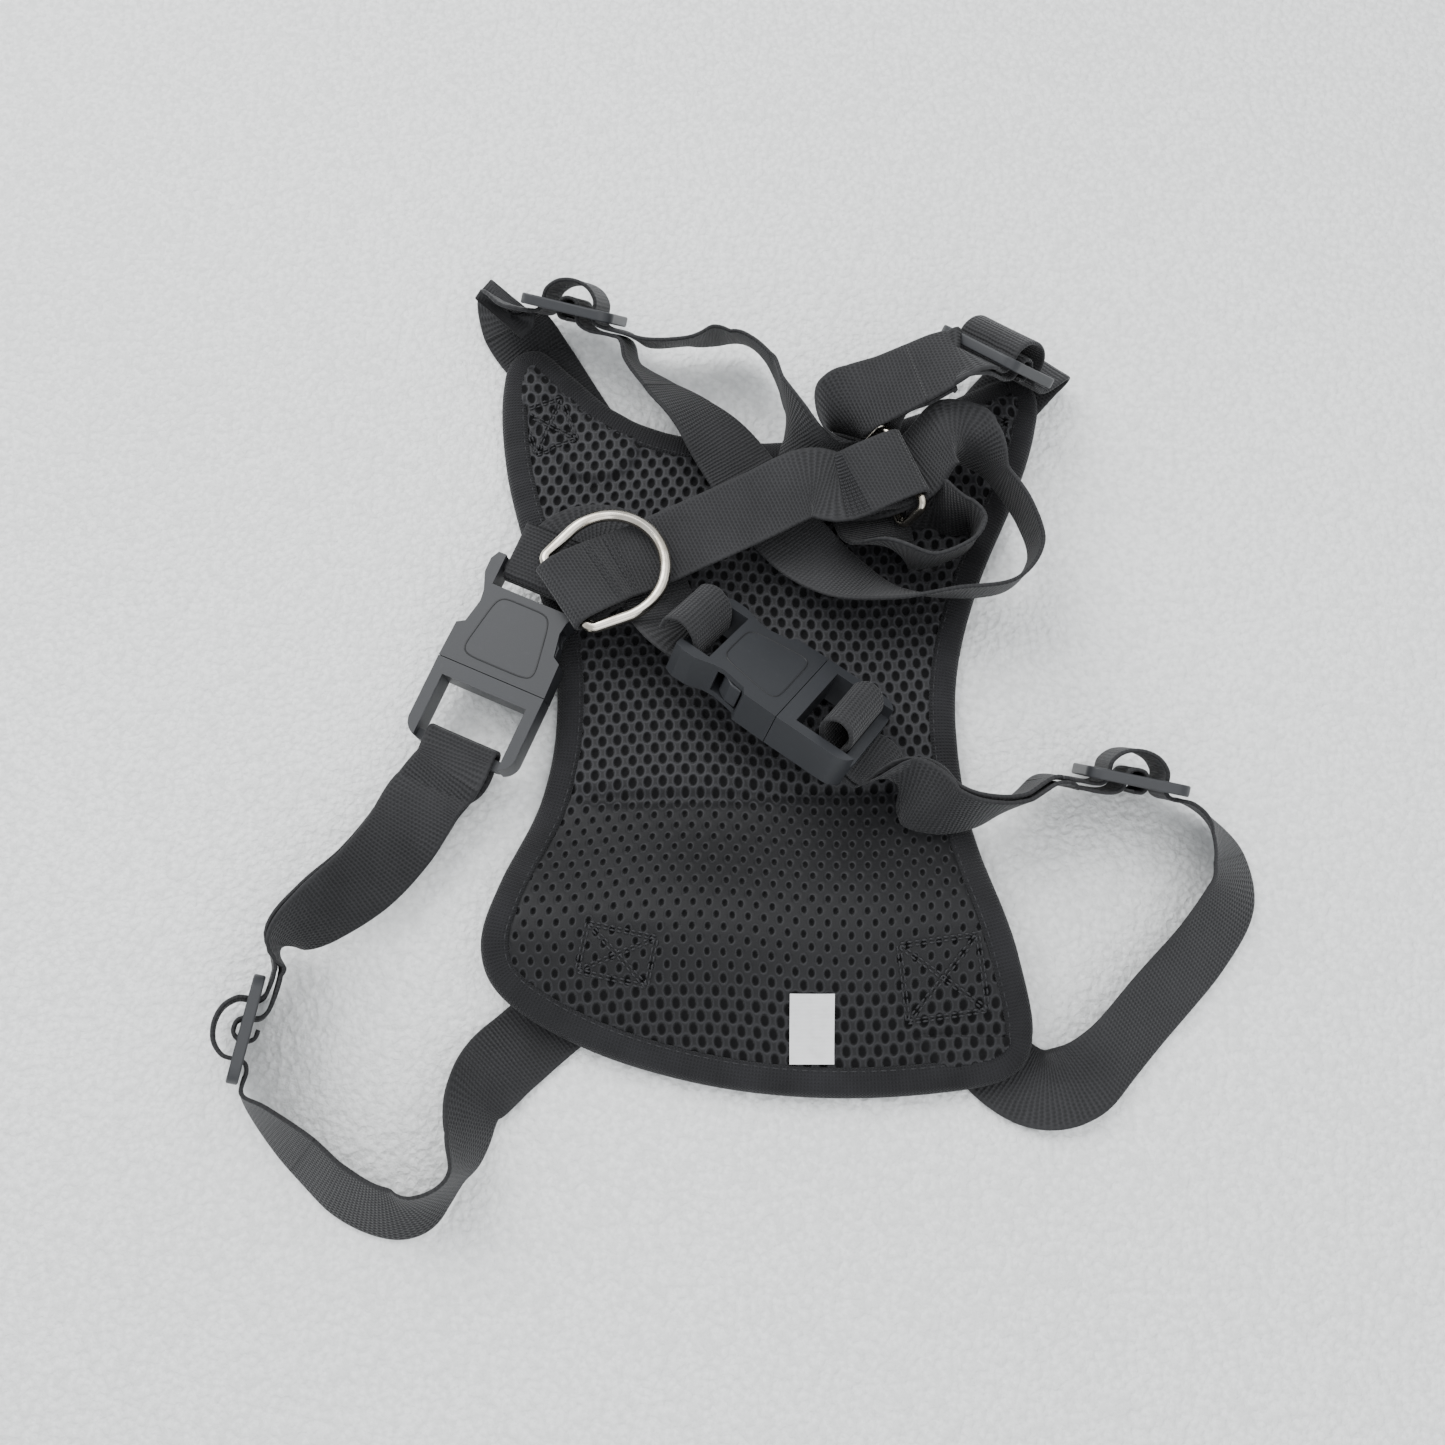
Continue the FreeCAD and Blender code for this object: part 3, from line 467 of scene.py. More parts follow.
def mesh_finish():
    """Air mesh: two lattices of oval holes half a step apart, warped a little, with twisted yarn between them;
    painted shade darkens the holes and the belly half, and a painted highlight lightens a ring round each hole.
    """
    if kept("black air mesh"):
        return kept("black air mesh")
    look = bpy.context.scene.harness_looks
    f = Finish("black air mesh")
    x, y, _ = f.apart(f.place())
    drift_x = f.math("MULTIPLY", f.math("SINE", f.math("DIVIDE", y, DRIFT_WAVE[0] * MM)), DRIFT_SIZE[0] * MM)
    drift_y = f.math("MULTIPLY", f.math("SINE", f.math("DIVIDE", x, DRIFT_WAVE[1] * MM)), DRIFT_SIZE[1] * MM)
    belly = f.between(y, -0.030, -0.044)
    near = f.between(y, -0.088, -0.104)
    x, y = f.math("ADD", x, drift_x), f.math("ADD", y, drift_y)
    size = f.math("SUBTRACT", 1.0, f.math("MULTIPLY", f.math("SUBTRACT", belly, near), 0.34))
    holes = []
    for offset in (0.0, 0.5):
        parts = []
        for value, pitch, half in ((x, look.hole_pitch, look.hole_width / 2),
                                   (y, look.hole_row * 2, look.hole_height / 2)):
            cell = f.math("FRACT", f.math("ADD", f.math("DIVIDE", value, pitch), offset))
            parts.append(f.math("MULTIPLY", f.math("SUBTRACT", cell, 0.5), pitch / half))
        far = f.math("SQRT", f.math("ADD", f.math("POWER", f.math("ABSOLUTE", parts[0]), 2.0),
                                    f.math("POWER", f.math("ABSOLUTE", parts[1]), 2.0)))
        holes.append(far)
    away = f.math("DIVIDE", f.math("MINIMUM", holes[0], holes[1]), size)
    # the hole mask: the holes get the dark colour below, painted shade down in them
    open_ = f.between(away, 1.18, 0.72)
    # a ring round each hole, painted paler: a painted highlight on the hole's rim
    rim = f.math("MULTIPLY", f.between(away, 0.9, 1.15), f.between(away, 1.7, 1.25))
    yarn = f.noise(f.place(), 2100.0, 2.0)
    patches = f.noise(f.place(), 30.0, 3.0)
    level = f.math("ADD", f.math("MULTIPLY", rim, 0.45), f.math("MULTIPLY", yarn, 0.3))
    level = f.math("ADD", level, f.math("MULTIPLY", patches, 0.3))
    level = f.math("MULTIPLY", level, f.math("SUBTRACT", 1.0, open_))
    # the belly half below the crease is painted darker: painted shade on its tilted face
    level = f.math("MULTIPLY", level, f.math("SUBTRACT", 1.0, f.math("MULTIPLY", belly, 0.35)))
    colour = f.colours(f.between(level, 0.0, 0.85), look.mesh_dark, look.mesh_light)
    height = f.math("SUBTRACT", f.math("ADD", f.math("MULTIPLY", yarn, 0.15), f.math("MULTIPLY", rim, 0.2)), open_)
    normal = f.bump(height, 0.6, 0.0006)
    return f.done(colour, f.math("ADD", 0.55, f.math("MULTIPLY", open_, 0.4)), normal, Sheen_Weight=0.08,
                  Sheen_Roughness=0.5, Specular_IOR_Level=0.25)


def woven_finish(name, dark, light, pitch, strength):
    """Plain weave on its own run coordinates: two sets of ribs at right angles, with noise over them; the rib
    height also shades the colour a little, as painted shade in the dips.
    """
    if kept(name):
        return kept(name)
    f = Finish(name)
    length, across, _ = f.apart(f.run())
    a = f.math("SINE", f.math("MULTIPLY", length, TURN / pitch))
    b = f.math("SINE", f.math("MULTIPLY", across, TURN / pitch))
    height = f.math("ADD", f.math("MULTIPLY", a, 0.5), f.math("MULTIPLY", f.math("MULTIPLY", a, b), 0.5))
    patches = f.noise(f.place(), 55.0, 4.0)
    fluff = f.noise(f.place(), 1800.0, 2.0)
    # the rib height in the colour is painted shade in the weave's dips; the patches and fluff noise are the cloth's
    # own tone
    level = f.math("ADD", f.math("MULTIPLY", height, 0.15), f.math("MULTIPLY", patches, 0.8))
    level = f.math("ADD", level, f.math("MULTIPLY", fluff, 0.2))
    colour = f.colours(f.between(level, 0.1, 0.9), dark, light)
    normal = f.bump(height, strength, 0.0003, f.bump(fluff, 0.3, 0.0002))
    return f.done(colour, 0.78, normal, Sheen_Weight=0.08, Sheen_Roughness=0.5, Specular_IOR_Level=0.2)


def thread_finish():
    """Black polyester thread with a soft gloss and fine twist."""
    if kept("black thread"):
        return kept("black thread")
    f = Finish("black thread")
    twist = f.noise(f.place(), 3200.0, 1.0)
    colour = f.colours(twist, (0.006, 0.006, 0.007), (0.032, 0.032, 0.035))
    return f.done(colour, 0.42, f.bump(twist, 0.4, 0.0002), Sheen_Weight=0.05, Specular_IOR_Level=0.3)


def acetal_finish(name, tint):
    """Satin moulded plastic: fine spark texture, faint flow marks and paler scuffs in scattered noise patches."""
    if kept(name):
        return kept(name)
    f = Finish(name)
    grain = f.noise(f.place(), 2600.0, 2.0)
    flow = f.noise(f.place(), 60.0, 4.0)
    scuff = f.between(f.noise(f.place(), 420.0, 6.0), 0.60, 0.74)
    level = f.math("ADD", f.math("MULTIPLY", flow, 0.7), f.math("MULTIPLY", grain, 0.3))
    dark, light = tint, tuple(min(c * 1.7, 1) for c in tint)
    colour = f.colours(f.math("ADD", level, f.math("MULTIPLY", scuff, 0.35)), dark, light)
    rough = f.math("ADD", 0.36, f.math("MULTIPLY", f.math("ADD", flow, grain), 0.1))
    return f.done(colour, rough, f.bump(grain, 0.16, 0.00015), Specular_IOR_Level=0.55)


def nickel_finish():
    """Bright nickel over bent wire: drawing lines, faint tarnish and small dull spots."""
    if kept("bright nickel"):
        return kept("bright nickel")
    f = Finish("bright nickel")
    tarnish = f.noise(f.place(), 190.0, 5.0)
    fine = f.noise(f.place(), 2400.0, 2.0)
    colour = f.colours(f.between(tarnish, 0.35, 0.75), (0.66, 0.62, 0.55), (0.42, 0.38, 0.31))
    rough = f.math("ADD", 0.10, f.math("MULTIPLY", f.between(tarnish, 0.4, 0.8), 0.22))
    return f.done(colour, rough, f.bump(fine, 0.08, 0.0001), Metallic=1.0)


def label_finish():
    """Blank white woven tape: fine threads and slightly soiled patches."""
    if kept("white label tape"):
        return kept("white label tape")
    f = Finish("white label tape")
    _, along, _ = f.apart(f.run())
    thread = f.math("SINE", f.math("MULTIPLY", along, TURN / 0.0004))
    soil = f.noise(f.place(), 240.0, 4.0)
    colour = f.colours(f.between(soil, 0.45, 0.8), (0.80, 0.80, 0.80), (0.68, 0.68, 0.67))
    return f.done(colour, 0.7, f.bump(thread, 0.3, 0.0001), Sheen_Weight=0.1)


def floor_finish():
    """Pale packing foam: small beads, broad soft patches and a faint sparkle that is painted: the beads' light
    middles and darker borders in the colour are painted highlights and painted shade.
    """
    f = Finish("pale foam sheet")
    cells = f.node("ShaderNodeTexVoronoi", Vector=f.place(), Scale=380.0)
    beads = cells.outputs["Distance"]
    broad = f.noise(f.place(), 3.5, 3.0)
    fine = f.noise(f.place(), 620.0, 2.0)
    # the beads in the colour are painted sparkle: light bead middles as painted highlights, darker borders as
    # painted shade between beads; broad and fine noise are the foam's own tone
    level = f.math("ADD", f.math("MULTIPLY", beads, 0.35), f.math("MULTIPLY", broad, 0.25))
    level = f.math("ADD", level, f.math("MULTIPLY", fine, 0.4))
    colour = f.colours(f.between(level, 0.32, 0.66), (0.97, 0.98, 0.97), (0.80, 0.81, 0.80))
    rough = f.math("ADD", 0.3, f.math("MULTIPLY", fine, 0.3))
    return f.done(colour, rough, f.bump(f.math("ADD", beads, fine), 0.6, 0.0012), Specular_IOR_Level=0.6)


# ---- the pad ----

def star_grid(inset, rings, around):
    """Points of the pad's plan: from the middle straight out to the ring, more of them near the ring."""
    ring = outline(around, inset)
    s = np.linspace(0.02, 1, rings) ** 0.85
    return s[:, None, None] * ring[None]


def pad_sheet(name, inset, height, rings, around, material):
    """The pad's underside: the star grid lifted to a height function of x and y, facing down, its middle closed."""
    plan = star_grid(inset, rings, around)
    x, y = plan[..., 0], plan[..., 1]
    points = np.stack([x, y, height(x, y)], axis=-1).reshape(-1, 3)
    faces = grid_faces(rings, around, wrap_b=True, flip=True).tolist() + [list(range(around))[::-1]]
    return mesh_object(name, points, faces, points[:, :2] * MM, material)


# binding profile: how far in from the edge, and share of the height from underside to top
BINDING_PROFILE = np.array([
    (9.6, 0.10), (9.0, 0.0), (6.0, -0.02), (3.0, 0.0), (1.4, 0.07), (0.4, 0.24), (0.0, 0.45), (0.3, 0.66),
    (1.3, 0.85), (3.0, 0.97), (5.0, 1.03), (7.0, 1.04), (8.4, 1.01), (9.0, 0.95), (9.3, 0.84)])


def binding_surface(around):
    """The tape round the edge: the profile carried round the plan, its height a share of the pad's thickness."""
    inset, share = catmull(BINDING_PROFILE, np.linspace(0, len(BINDING_PROFILE) - 1, 40)).T
    ring = np.stack([outline(around, d) for d in inset], axis=1)
    x, y = ring[..., 0], ring[..., 1]
    low = underside(x, y)
    run = np.concatenate([[0], np.cumsum(np.linalg.norm(np.diff(outline(around, 4), axis=0), axis=1))])
    pucker = 0.14 * np.sin(run[:, None] / 1.9) * smooth(0.3, 1.0, share)[None]
    z = low + (arch(y) + TAPE_TOP - low) * share[None] + pucker
    points = np.stack([x, y, np.maximum(z, 0.02)], axis=-1).reshape(-1, 3)
    lengths = np.concatenate([[0], np.cumsum(np.hypot(np.diff(inset), np.diff(share) * 8))])
    uv = np.stack([np.repeat(run, len(inset)), np.tile(lengths, around)], axis=1) * MM
    return points, uv, len(inset)


def binding_stitches(around_mm=3.1, inset=8.0):
    """Starts and ends of the row of stitches that holds the binding, evenly spaced along the plan."""
    ring = outline(2400, inset)
    run = np.concatenate([[0], np.cumsum(np.linalg.norm(np.diff(ring, axis=0), axis=1))])
    count = int(run[-1] / around_mm)
    at = np.arange(count) * around_mm
    starts = np.stack([np.interp(at, run, ring[:, k]) for k in (0, 1)], axis=1)
    ends = np.stack([np.interp(at + around_mm * 0.72, run, ring[:, k]) for k in (0, 1)], axis=1)
    return starts, ends


def on_pad(points, lift):
    """Plan points set on the mesh's top face, a little above it."""
    z = pad_top(points[:, 0], points[:, 1]) + lift
    return np.column_stack([points, z])


# ---- straps ----

NECK_LEFT_TAIL = rows([
    (-60, 96, 0.75, 0.86, 0.5, 0), (-70, 112, 0.75, 0.86, 0.5, 0), (-79, 127, 0.9, 0.86, 0.5, 0),
    (-83.5, 133.5, 2.4, 0.86, 0.45, 0.01), (-89.5, 139.5, 8.8, 0.8, 0.2, 0.35),
    (-91.5, 143, 14.5, 0.45, -0.1, 0.85)])
NECK_LEFT_RUN = rows([
    (-40, 127, 18.5, 0, -0.4, 0.9), (-26, 127.5, 19, 0, -0.4, 0.9), (-17, 129.5, 19, 0, -0.25, 0.95),
    (-8, 128.5, 19.5, 0, -0.4, 0.9), (-1, 122.5, 21, 0, -0.4, 0.9), (4.5, 113, 22.5, 0.05, -0.4, 0.9),
    (7.5, 103, 24.5, 0, -0.25, 0.9), (11, 92, 25, 0.25, 0, 0.9), (15.5, 80.5, 22.4, 0.6, 0.3, 0.7),
    (25.5, 73.5, 20.9, 0.1, 0.85, 0.5), (34.5, 71, 21.2, -0.40, 0.917, 0.1), (43, 72.8, 21.8, -0.40, 0.917, 0),
    (52.5, 77.5, 23.6, -0.4, 0.9, -0.08), (61, 84.5, 33.6, -0.3, 0.9, -0.1), (70, 83, 28, -0.1, 0.45, 0.8),
    (80, 75, 21.8, 0, -0.1, 1), (88.5, 60, 21.8, 0, -0.1, 1),
    (91, 46, 21.8, 0, -0.15, 1), (81.5, 34.5, 21.8, 0, -0.2, 1), (62, 32, 21.6, 0, -0.25, 1),
    (43, 32.5, 20, 0, -0.5, 0.85), (27, 39, 17.0, -0.25, -0.75, 0.5), (13, 51, 14.8, -0.55, -0.75, 0.15),
    (1, 67, 13.2, -0.8, -0.55, 0.03), (-12, 86.5, 13.8, -0.8, -0.5, 0.22), (-24.5, 101, 17, -0.5, -0.6, 0.6),
    (-36, 111.5, 16.5, -0.2, -0.6, 0.77), (-45, 120.5, 16.5, -0.1, -0.5, 0.87)])
NECK_RIGHT_TAIL = rows([
    (66, 88, 0.75, 0.76, -0.65, 0), (77, 101, 0.75, 0.76, -0.65, 0), (89, 115, 1.0, 0.76, -0.65, 0),
    (98, 124.5, 3.3, 0.76, -0.65, 0.05), (100, 125.5, 8.8, 0.72, -0.65, 0.15)])
NECK_RIGHT_DOUBLE = rows([
    (62, 109, 38.5, 0.5, -0.78, 0.35), (52, 105.5, 35, 0.45, -0.85, 0.25), (42, 102.5, 31, 0.42, -0.88, 0.15)])
NECK_RIGHT_TURN = rows([
    (33, 100, 29.2, 0.42, -0.9, -0.1), (26, 96.5, 27.5, 0.4, -0.6, -0.6), (21, 90.5, 25, 0, 0, -1),
    (21.5, 82.5, 21.5, -0.6, -0.3, -0.7), (27.5, 76, 18.9, -0.1, -0.85, -0.5),
    (34.5, 73.5, 18.6, 0.42, -0.9, -0.1), (42.5, 74.2, 19.3, 0.40, -0.917, 0),
    (51, 73.5, 17.2, 0.4, -0.91, -0.02), (57.5, 69.0, 16.0, 0.4, -0.9, -0.02), (63.5, 63, 19.4, 0.2, -0.4, -0.8),
    (70.5, 59.5, 21.6, 0, 0.1, -1), (72.5, 54.5, 21.6, 0, 0.15, -1), (68, 48.5, 21.4, 0, 0.2, -1),
    (56, 43.5, 21.4, 0, 0.2, -1), (46.5, 46, 21.2, 0.1, 0.1, -0.9), (40, 53.5, 16.5, 0.75, 0.4, -0.4),
    (37, 63, 10.0, 0.95, 0.2, 0), (35.5, 74, 9.7, 1, 0, 0), (35, 86, 11, 0.95, -0.3, 0),
    (38, 96, 18, 0.6, -0.75, 0.1)])
BELLY_LEFT_TAIL = rows([
    (-42, -84, 11.2, -0.64, 0.76, 0.1), (-54, -94, 8.2, -0.64, 0.76, 0.28), (-66, -104.5, 2.7, -0.64, 0.76, 0.1),
    (-77, -114, 1.1, -0.64, 0.76, 0), (-85, -122, 5.0, -0.68, 0.5, 0.3), (-91.0, -132, 10.6, -0.6, 0.1, 0.75),
    (-92.5, -144, 12.4, -0.4, -0.05, 0.9), (-94.5, -154, 13.4, -0.15, -0.1, 1), (-102, -162, 13.0, 0, 0.3, 1),
    (-111, -165.5, 11.4, 0.05, 0.6, 0.85), (-121, -164, 10.8, 0.1, 0.65, 0.8), (-132, -158, 10.8, 0.12, 0.7, 0.78),
    (-143, -148, 12, 0.3, 0.5, 0.8), (-155, -137, 15, 0.35, 0.2, 0.9)])
BELLY_LEFT_DOUBLE = rows([
    (-153, -84, 19, 0.2, 0.35, 0.9), (-141, -74, 18, -0.2, 0.65, 0.75), (-128, -63, 16.5, -0.5, 0.65, 0.55),
    (-118, -50, 15, -0.75, 0.5, 0.4), (-110.5, -36, 13.5, -0.9, 0.4, 0.1)])
BELLY_RIGHT_TAIL = rows([
    (48, -86, 10.8, 0.8, 0.6, 0.12), (57, -98, 7.0, 0.8, 0.6, 0.3), (65, -109, 2.5, 0.8, 0.6, 0.1),
    (74, -121, 1.2, 0.8, 0.6, 0), (85, -128, 2.0, 0.5, 0.8, 0), (96, -127, 5.8, 0.2, 0.9, 0.25),
    (107, -119, 9.0, -0.2, 0.85, 0.45), (123, -102, 9.0, -0.4, 0.75, 0.5), (139, -85, 9.5, -0.55, 0.6, 0.55),
    (149.5, -69, 11, -0.7, 0.4, 0.65), (149.5, -56, 12.5, -0.65, -0.1, 0.75), (143.5, -45, 14.5, -0.3, -0.3, 0.9)])
BELLY_RIGHT_DOUBLE = rows([
    (90.5, -32.6, 19.2, -0.06, -0.28, 0.955), (80, -39.5, 21.5, -0.05, -0.2, 0.97), (69, -43, 23, 0, 0.1, 0.97),
    (58, -42.5, 24, 0.2, 0.35, 0.85), (48, -37, 24, 0.35, 0.5, 0.6)])


def male_wrap(place, roll):
    """Webbing round a male bar: flat, or standing up in a loose roll."""
    u = BUCKLE_LENGTH - BAR_SIZE / 2
    r = BAR_HEIGHT / 2 + WEB_THICK / 2 + BAR_CLEAR
    step = WEB_THICK + WEB_GAP
    if not roll:
        return in_plane(place, [(u + 8, r), (u, r), (u - 3.4, r - 0.4), (u - 4.4, 0), (u - 3.4, -r + 0.4),
                                (u, -r), (u + 8, -r)])
    return in_plane(place, [(u + 8, -r), (u, -r), (u - 3.6, -r + 0.9), (u - 3.8, 2), (u - 2.2, 6.5),
                            (u - 4.6, 11.5),
                            (u - 9.5, 12.6), (u - 13, 8.5), (u - 11.5, 3), (u - 8, -1.5), (u - 5.4, -r - 0.9),
                            (u, -r - step), (u + 8, -r - step)])


def strap_parts():
    """Every strap: its route, its slider, the rows of the turn over the slider's bar, the first row of the end
    that is sewn to the slider, and the clip and rows of the wrap round it if there is one.
    """
    straps = {}

    def lay(strap, key, before, after, wrap=None):
        place, side = SLIDERS[key]
        over, end = (in_plane(place, path, side) for path in (SLIDER_OVER, SLIDER_END))
        route = np.vstack([before, over] + after + [end])
        start = len(before)
        straps[strap] = (route, "slider_" + key, start, start + len(SLIDER_OVER) - 1,
                         len(route) - len(SLIDER_END), wrap)

    lay("shoulder_strap_left", "neck_left", NECK_LEFT_TAIL, [NECK_LEFT_RUN])
    lay("shoulder_strap_right", "neck_right", NECK_RIGHT_TAIL,
        [beside(NECK_RIGHT_DOUBLE, 1), NECK_RIGHT_TURN, beside(NECK_RIGHT_DOUBLE, -1)[::-1]])
    for end, tail, double, side, roll in (("left", BELLY_LEFT_TAIL, BELLY_LEFT_DOUBLE, -1, False),
                                          ("right", BELLY_RIGHT_TAIL, BELLY_RIGHT_DOUBLE, 1, True)):
        wrap = flipped(male_wrap(BUCKLES[end], roll))
        first = len(tail) + len(SLIDER_OVER) + len(double)
        lay("belly_strap_" + end, "belly_" + end, tail, [beside(double, side), wrap, beside(double, -side)[::-1]],
            wrap=("buckle_male_" + end, first, first + len(wrap) - 1))
    return straps


def follow(obj):
    """Bakes a part that lies between two bodies into its mesh where it is; it is left on neither body and is not
    bent.
    """
    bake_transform(obj)


def lay_strap(strap, data, material):
    """Cuts one strap into parts that stay on the harness, go with a slider or a clip, or lie between two, baked in
    place.
    """
    route, slider, hump0, hump1, tail0, wrap = data
    last = len(route) - 1
    made = []

    def part(name, a, b):
        obj = webbing(strap + "_" + name, route, a, b, material)
        made.append(obj)
        return obj

    before = max(hump0 - 2, 0)
    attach(part("sewn_end", 0, before), "harness")
    follow(part("to_slider", before, hump0 + 1))
    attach(part("over_slider", hump0 + 1, hump1 - 1), slider)
    if wrap is None:
        follow(part("from_slider", hump1 - 1, hump1 + 2))
        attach(part("run", hump1 + 2, tail0 - 2), "harness")
        follow(part("back_to_slider", tail0 - 2, tail0 + 1))
    else:
        male, wrap0, wrap1 = wrap
        follow(part("from_slider", hump1 - 1, hump1 + 1))
        follow(part("to_clip", hump1 + 1, wrap0))
        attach(part("round_clip", wrap0, wrap1), male)
        follow(part("from_clip", wrap1, tail0 - 1))
        follow(part("back_to_slider", tail0 - 1, tail0 + 1))
    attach(part("slider_end", tail0 + 1, last), slider)
    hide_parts(strap)
    return made


def back_route():
    """From the D-ring's bar to the fold that holds the neck loop; both ends are turned back and sewn."""
    r = 2.0 + WEB_THICK / 2 + BAR_CLEAR
    s = 1.6 + WEB_THICK / 2 + BAR_CLEAR
    near = in_plane(D_RING, [(15, -r - 0.5), (7, -r - 0.1), (0, -r), (-r, 0), (0, r), (6, r - 0.8), (13, 0.2),
                             (20, -3.0)])
    middle = rows([
        (-40, 44.5, 22.8, -0.46, 0.88, 0), (-24, 52.0, 23.2, -0.4, 0.915, 0), (-4, 60.5, 26.0, -0.4, 0.915, 0),
        (14, 67.5, 30.4, -0.4, 0.915, 0)])
    far = in_plane(NECK_LOOP, [(-24, s + 0.4), (-11, s + 0.3), (0, s), (s, 0), (0, -s), (-7, -s + 0.5), (-13, 0.8),
                               (-19, 1.2)])
    return np.vstack([near, middle, far])


def cross_route():
    """Joins the two female halves under the D-ring: wrapped on the left bar, rolled on the right one."""
    left, right = BUCKLES["left"], BUCKLES["right"]
    r = BAR_HEIGHT / 2 + WEB_THICK / 2 + BAR_CLEAR
    u = BAR_SIZE / 2
    start = in_plane(left, [(-14, r + 0.4), (-6, r), (u, r), (u + 3.4, r - 0.4), (u + 4.4, 0), (u + 3.4, -r + 0.4),
                            (u, -r), (-8, -r)])
    middle = rows([
        (-64, 55, 11.6, 0.75, -0.65, 0), (-52, 55, 11.0, 0.2, -0.98, 0), (-42, 45, 12.0, -0.65, -0.75, 0),
        (-36.5, 33, 15.5, -0.75, -0.6, 0.3)])
    roll = in_plane(right, [(-8, -r), (u, -r), (u + 3.6, -r + 0.9), (u + 3.8, 2), (u + 1.6, 7.5), (u - 4, 10.5),
                            (u - 9, 8.4), (u - 10, 3.6)])
    return np.vstack([start, middle, flipped(roll)])


def strap_stitches(name, route, at, spread, columns, lift, face, body):
    """Rows of stitches across a strap: a row at each place, made of short threads side by side."""
    starts, ends, ups = [], [], []
    for place in at:
        middle, w, n = rails(route, np.array([place]))
        across = np.linspace(-spread, spread, columns + 1)
        line = middle + w * across[:, None] + n * face * (0.68 + lift)
        starts.append(line[:-1] + (line[1:] - line[:-1]) * 0.1)
        ends.append(line[:-1] + (line[1:] - line[:-1]) * 0.85)
        ups.append(np.tile(n * face, (columns, 1)))
    return thread_dashes(name, np.vstack(starts), np.vstack(ends), 0.12, 0.3, thread_finish(), body, np.vstack(ups))


# ---- settings ----

class HarnessLooks(bpy.types.PropertyGroup):
    """Sizes and colours of the harness that a user may change."""
    rib_pitch: bpy.props.FloatProperty(
        name="Rib pitch", description="Distance between two cross ribs of the webbing",
        default=0.00125, min=0.0005, max=0.004, precision=5, unit="LENGTH")
    hole_pitch: bpy.props.FloatProperty(
        name="Hole pitch", description="Distance between two holes of one row of the mesh",
        default=0.0050, min=0.002, max=0.02, precision=4, unit="LENGTH")
    hole_row: bpy.props.FloatProperty(
        name="Row height", description="Distance between two rows of holes",
        default=0.00385, min=0.001, max=0.02, precision=5, unit="LENGTH")
    hole_width: bpy.props.FloatProperty(
        name="Hole width", description="Width of a hole of the mesh",
        default=0.0026, min=0.0005, max=0.01, precision=4, unit="LENGTH")
    hole_height: bpy.props.FloatProperty(
        name="Hole height", description="Height of a hole of the mesh",
        default=0.0036, min=0.0005, max=0.01, precision=4, unit="LENGTH")
    # the dark webbing colour is partly painted shade between the ribs
    webbing_dark: bpy.props.FloatVectorProperty(
        name="Webbing, dark", description="Colour in the grooves of the webbing",
        default=(0.006, 0.006, 0.0065), min=0, max=1, subtype="COLOR")
    webbing_light: bpy.props.FloatVectorProperty(
        name="Webbing, light", description="Colour on the ribs of the webbing",
        default=(0.034, 0.034, 0.036), min=0, max=1, subtype="COLOR")
    # the dark mesh colour is painted shade down in the holes
    mesh_dark: bpy.props.FloatVectorProperty(
        name="Mesh, dark", description="Colour down in the holes of the mesh",
        default=(0.002, 0.002, 0.0023), min=0, max=1, subtype="COLOR")
    mesh_light: bpy.props.FloatVectorProperty(
        name="Mesh, light", description="Colour of the mesh's yarn",
        default=(0.030, 0.030, 0.033), min=0, max=1, subtype="COLOR")
    plastic_tint: bpy.props.FloatVectorProperty(
        name="Plastic", description="Colour of the buckles and sliders",
        default=(0.013, 0.014, 0.016), min=0, max=1, subtype="COLOR")
    edge_round: bpy.props.FloatProperty(
        name="Edge rounding", description="Radius of the rounded edges of the moulded plastic",
        default=0.0006, min=0, max=0.002, precision=4, unit="LENGTH")


# ---- operators ----

def mesh_face(material, look):
    """Air-mesh face: a level grid over the plan, lifted to the pad's top and sunk where a hole is.

    Height = pad_top - hole_depth - a smooth dip that takes the rim of the face down under the binding tape.
    """
    low, high = PAD_OUTLINE.min(axis=0), PAD_OUTLINE.max(axis=0)
    x, y = np.meshgrid(np.arange(low[0], high[0], MESH_STEP), np.arange(low[1], high[1], MESH_STEP), indexing="ij")
    angle, far = np.arctan2(y, x), np.hypot(x, y)
    edge, inner = reach_at(angle, TUCK[0]), reach_at(angle, TUCK[1])
    toward = (far - inner) / (edge - inner)
    z = pad_top(x, y) - hole_depth(x, y, look) * smooth(0.9, 0.3, toward) - 1.3 * smooth(0.1, 0.8, toward)
    faces = grid_faces(*x.shape)
    faces = faces[np.all(toward.ravel()[faces] <= 1, axis=1)]
    used, index = np.unique(faces, return_inverse=True)
    points = np.stack([x, y, z], axis=-1).reshape(-1, 3)[used]
    return mesh_object("pad_mesh_face", points, index.reshape(-1, 4), material=material)


class HARNESS_OT_pad(bpy.types.Operator):
    """Makes the air-mesh face and the outer shell of the breast pad"""
    bl_idname = "harness.pad"
    bl_label = "Breast pad"

    def execute(self, context):
        top = mesh_face(mesh_finish(), context.scene.harness_looks)
        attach(top, "harness")
        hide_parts("mesh_lining", "foam_core")
        shell = pad_sheet("pad_outer_shell", 8.6, lambda x, y: underside(x, y) + 0.35, 40, 200,
                          woven_finish("black shell cloth", (0.012, 0.012, 0.013), (0.035, 0.035, 0.038),
                                       0.0008, 0.4))
        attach(shell, "harness")
        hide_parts("outer_shell")
        return {"FINISHED"}


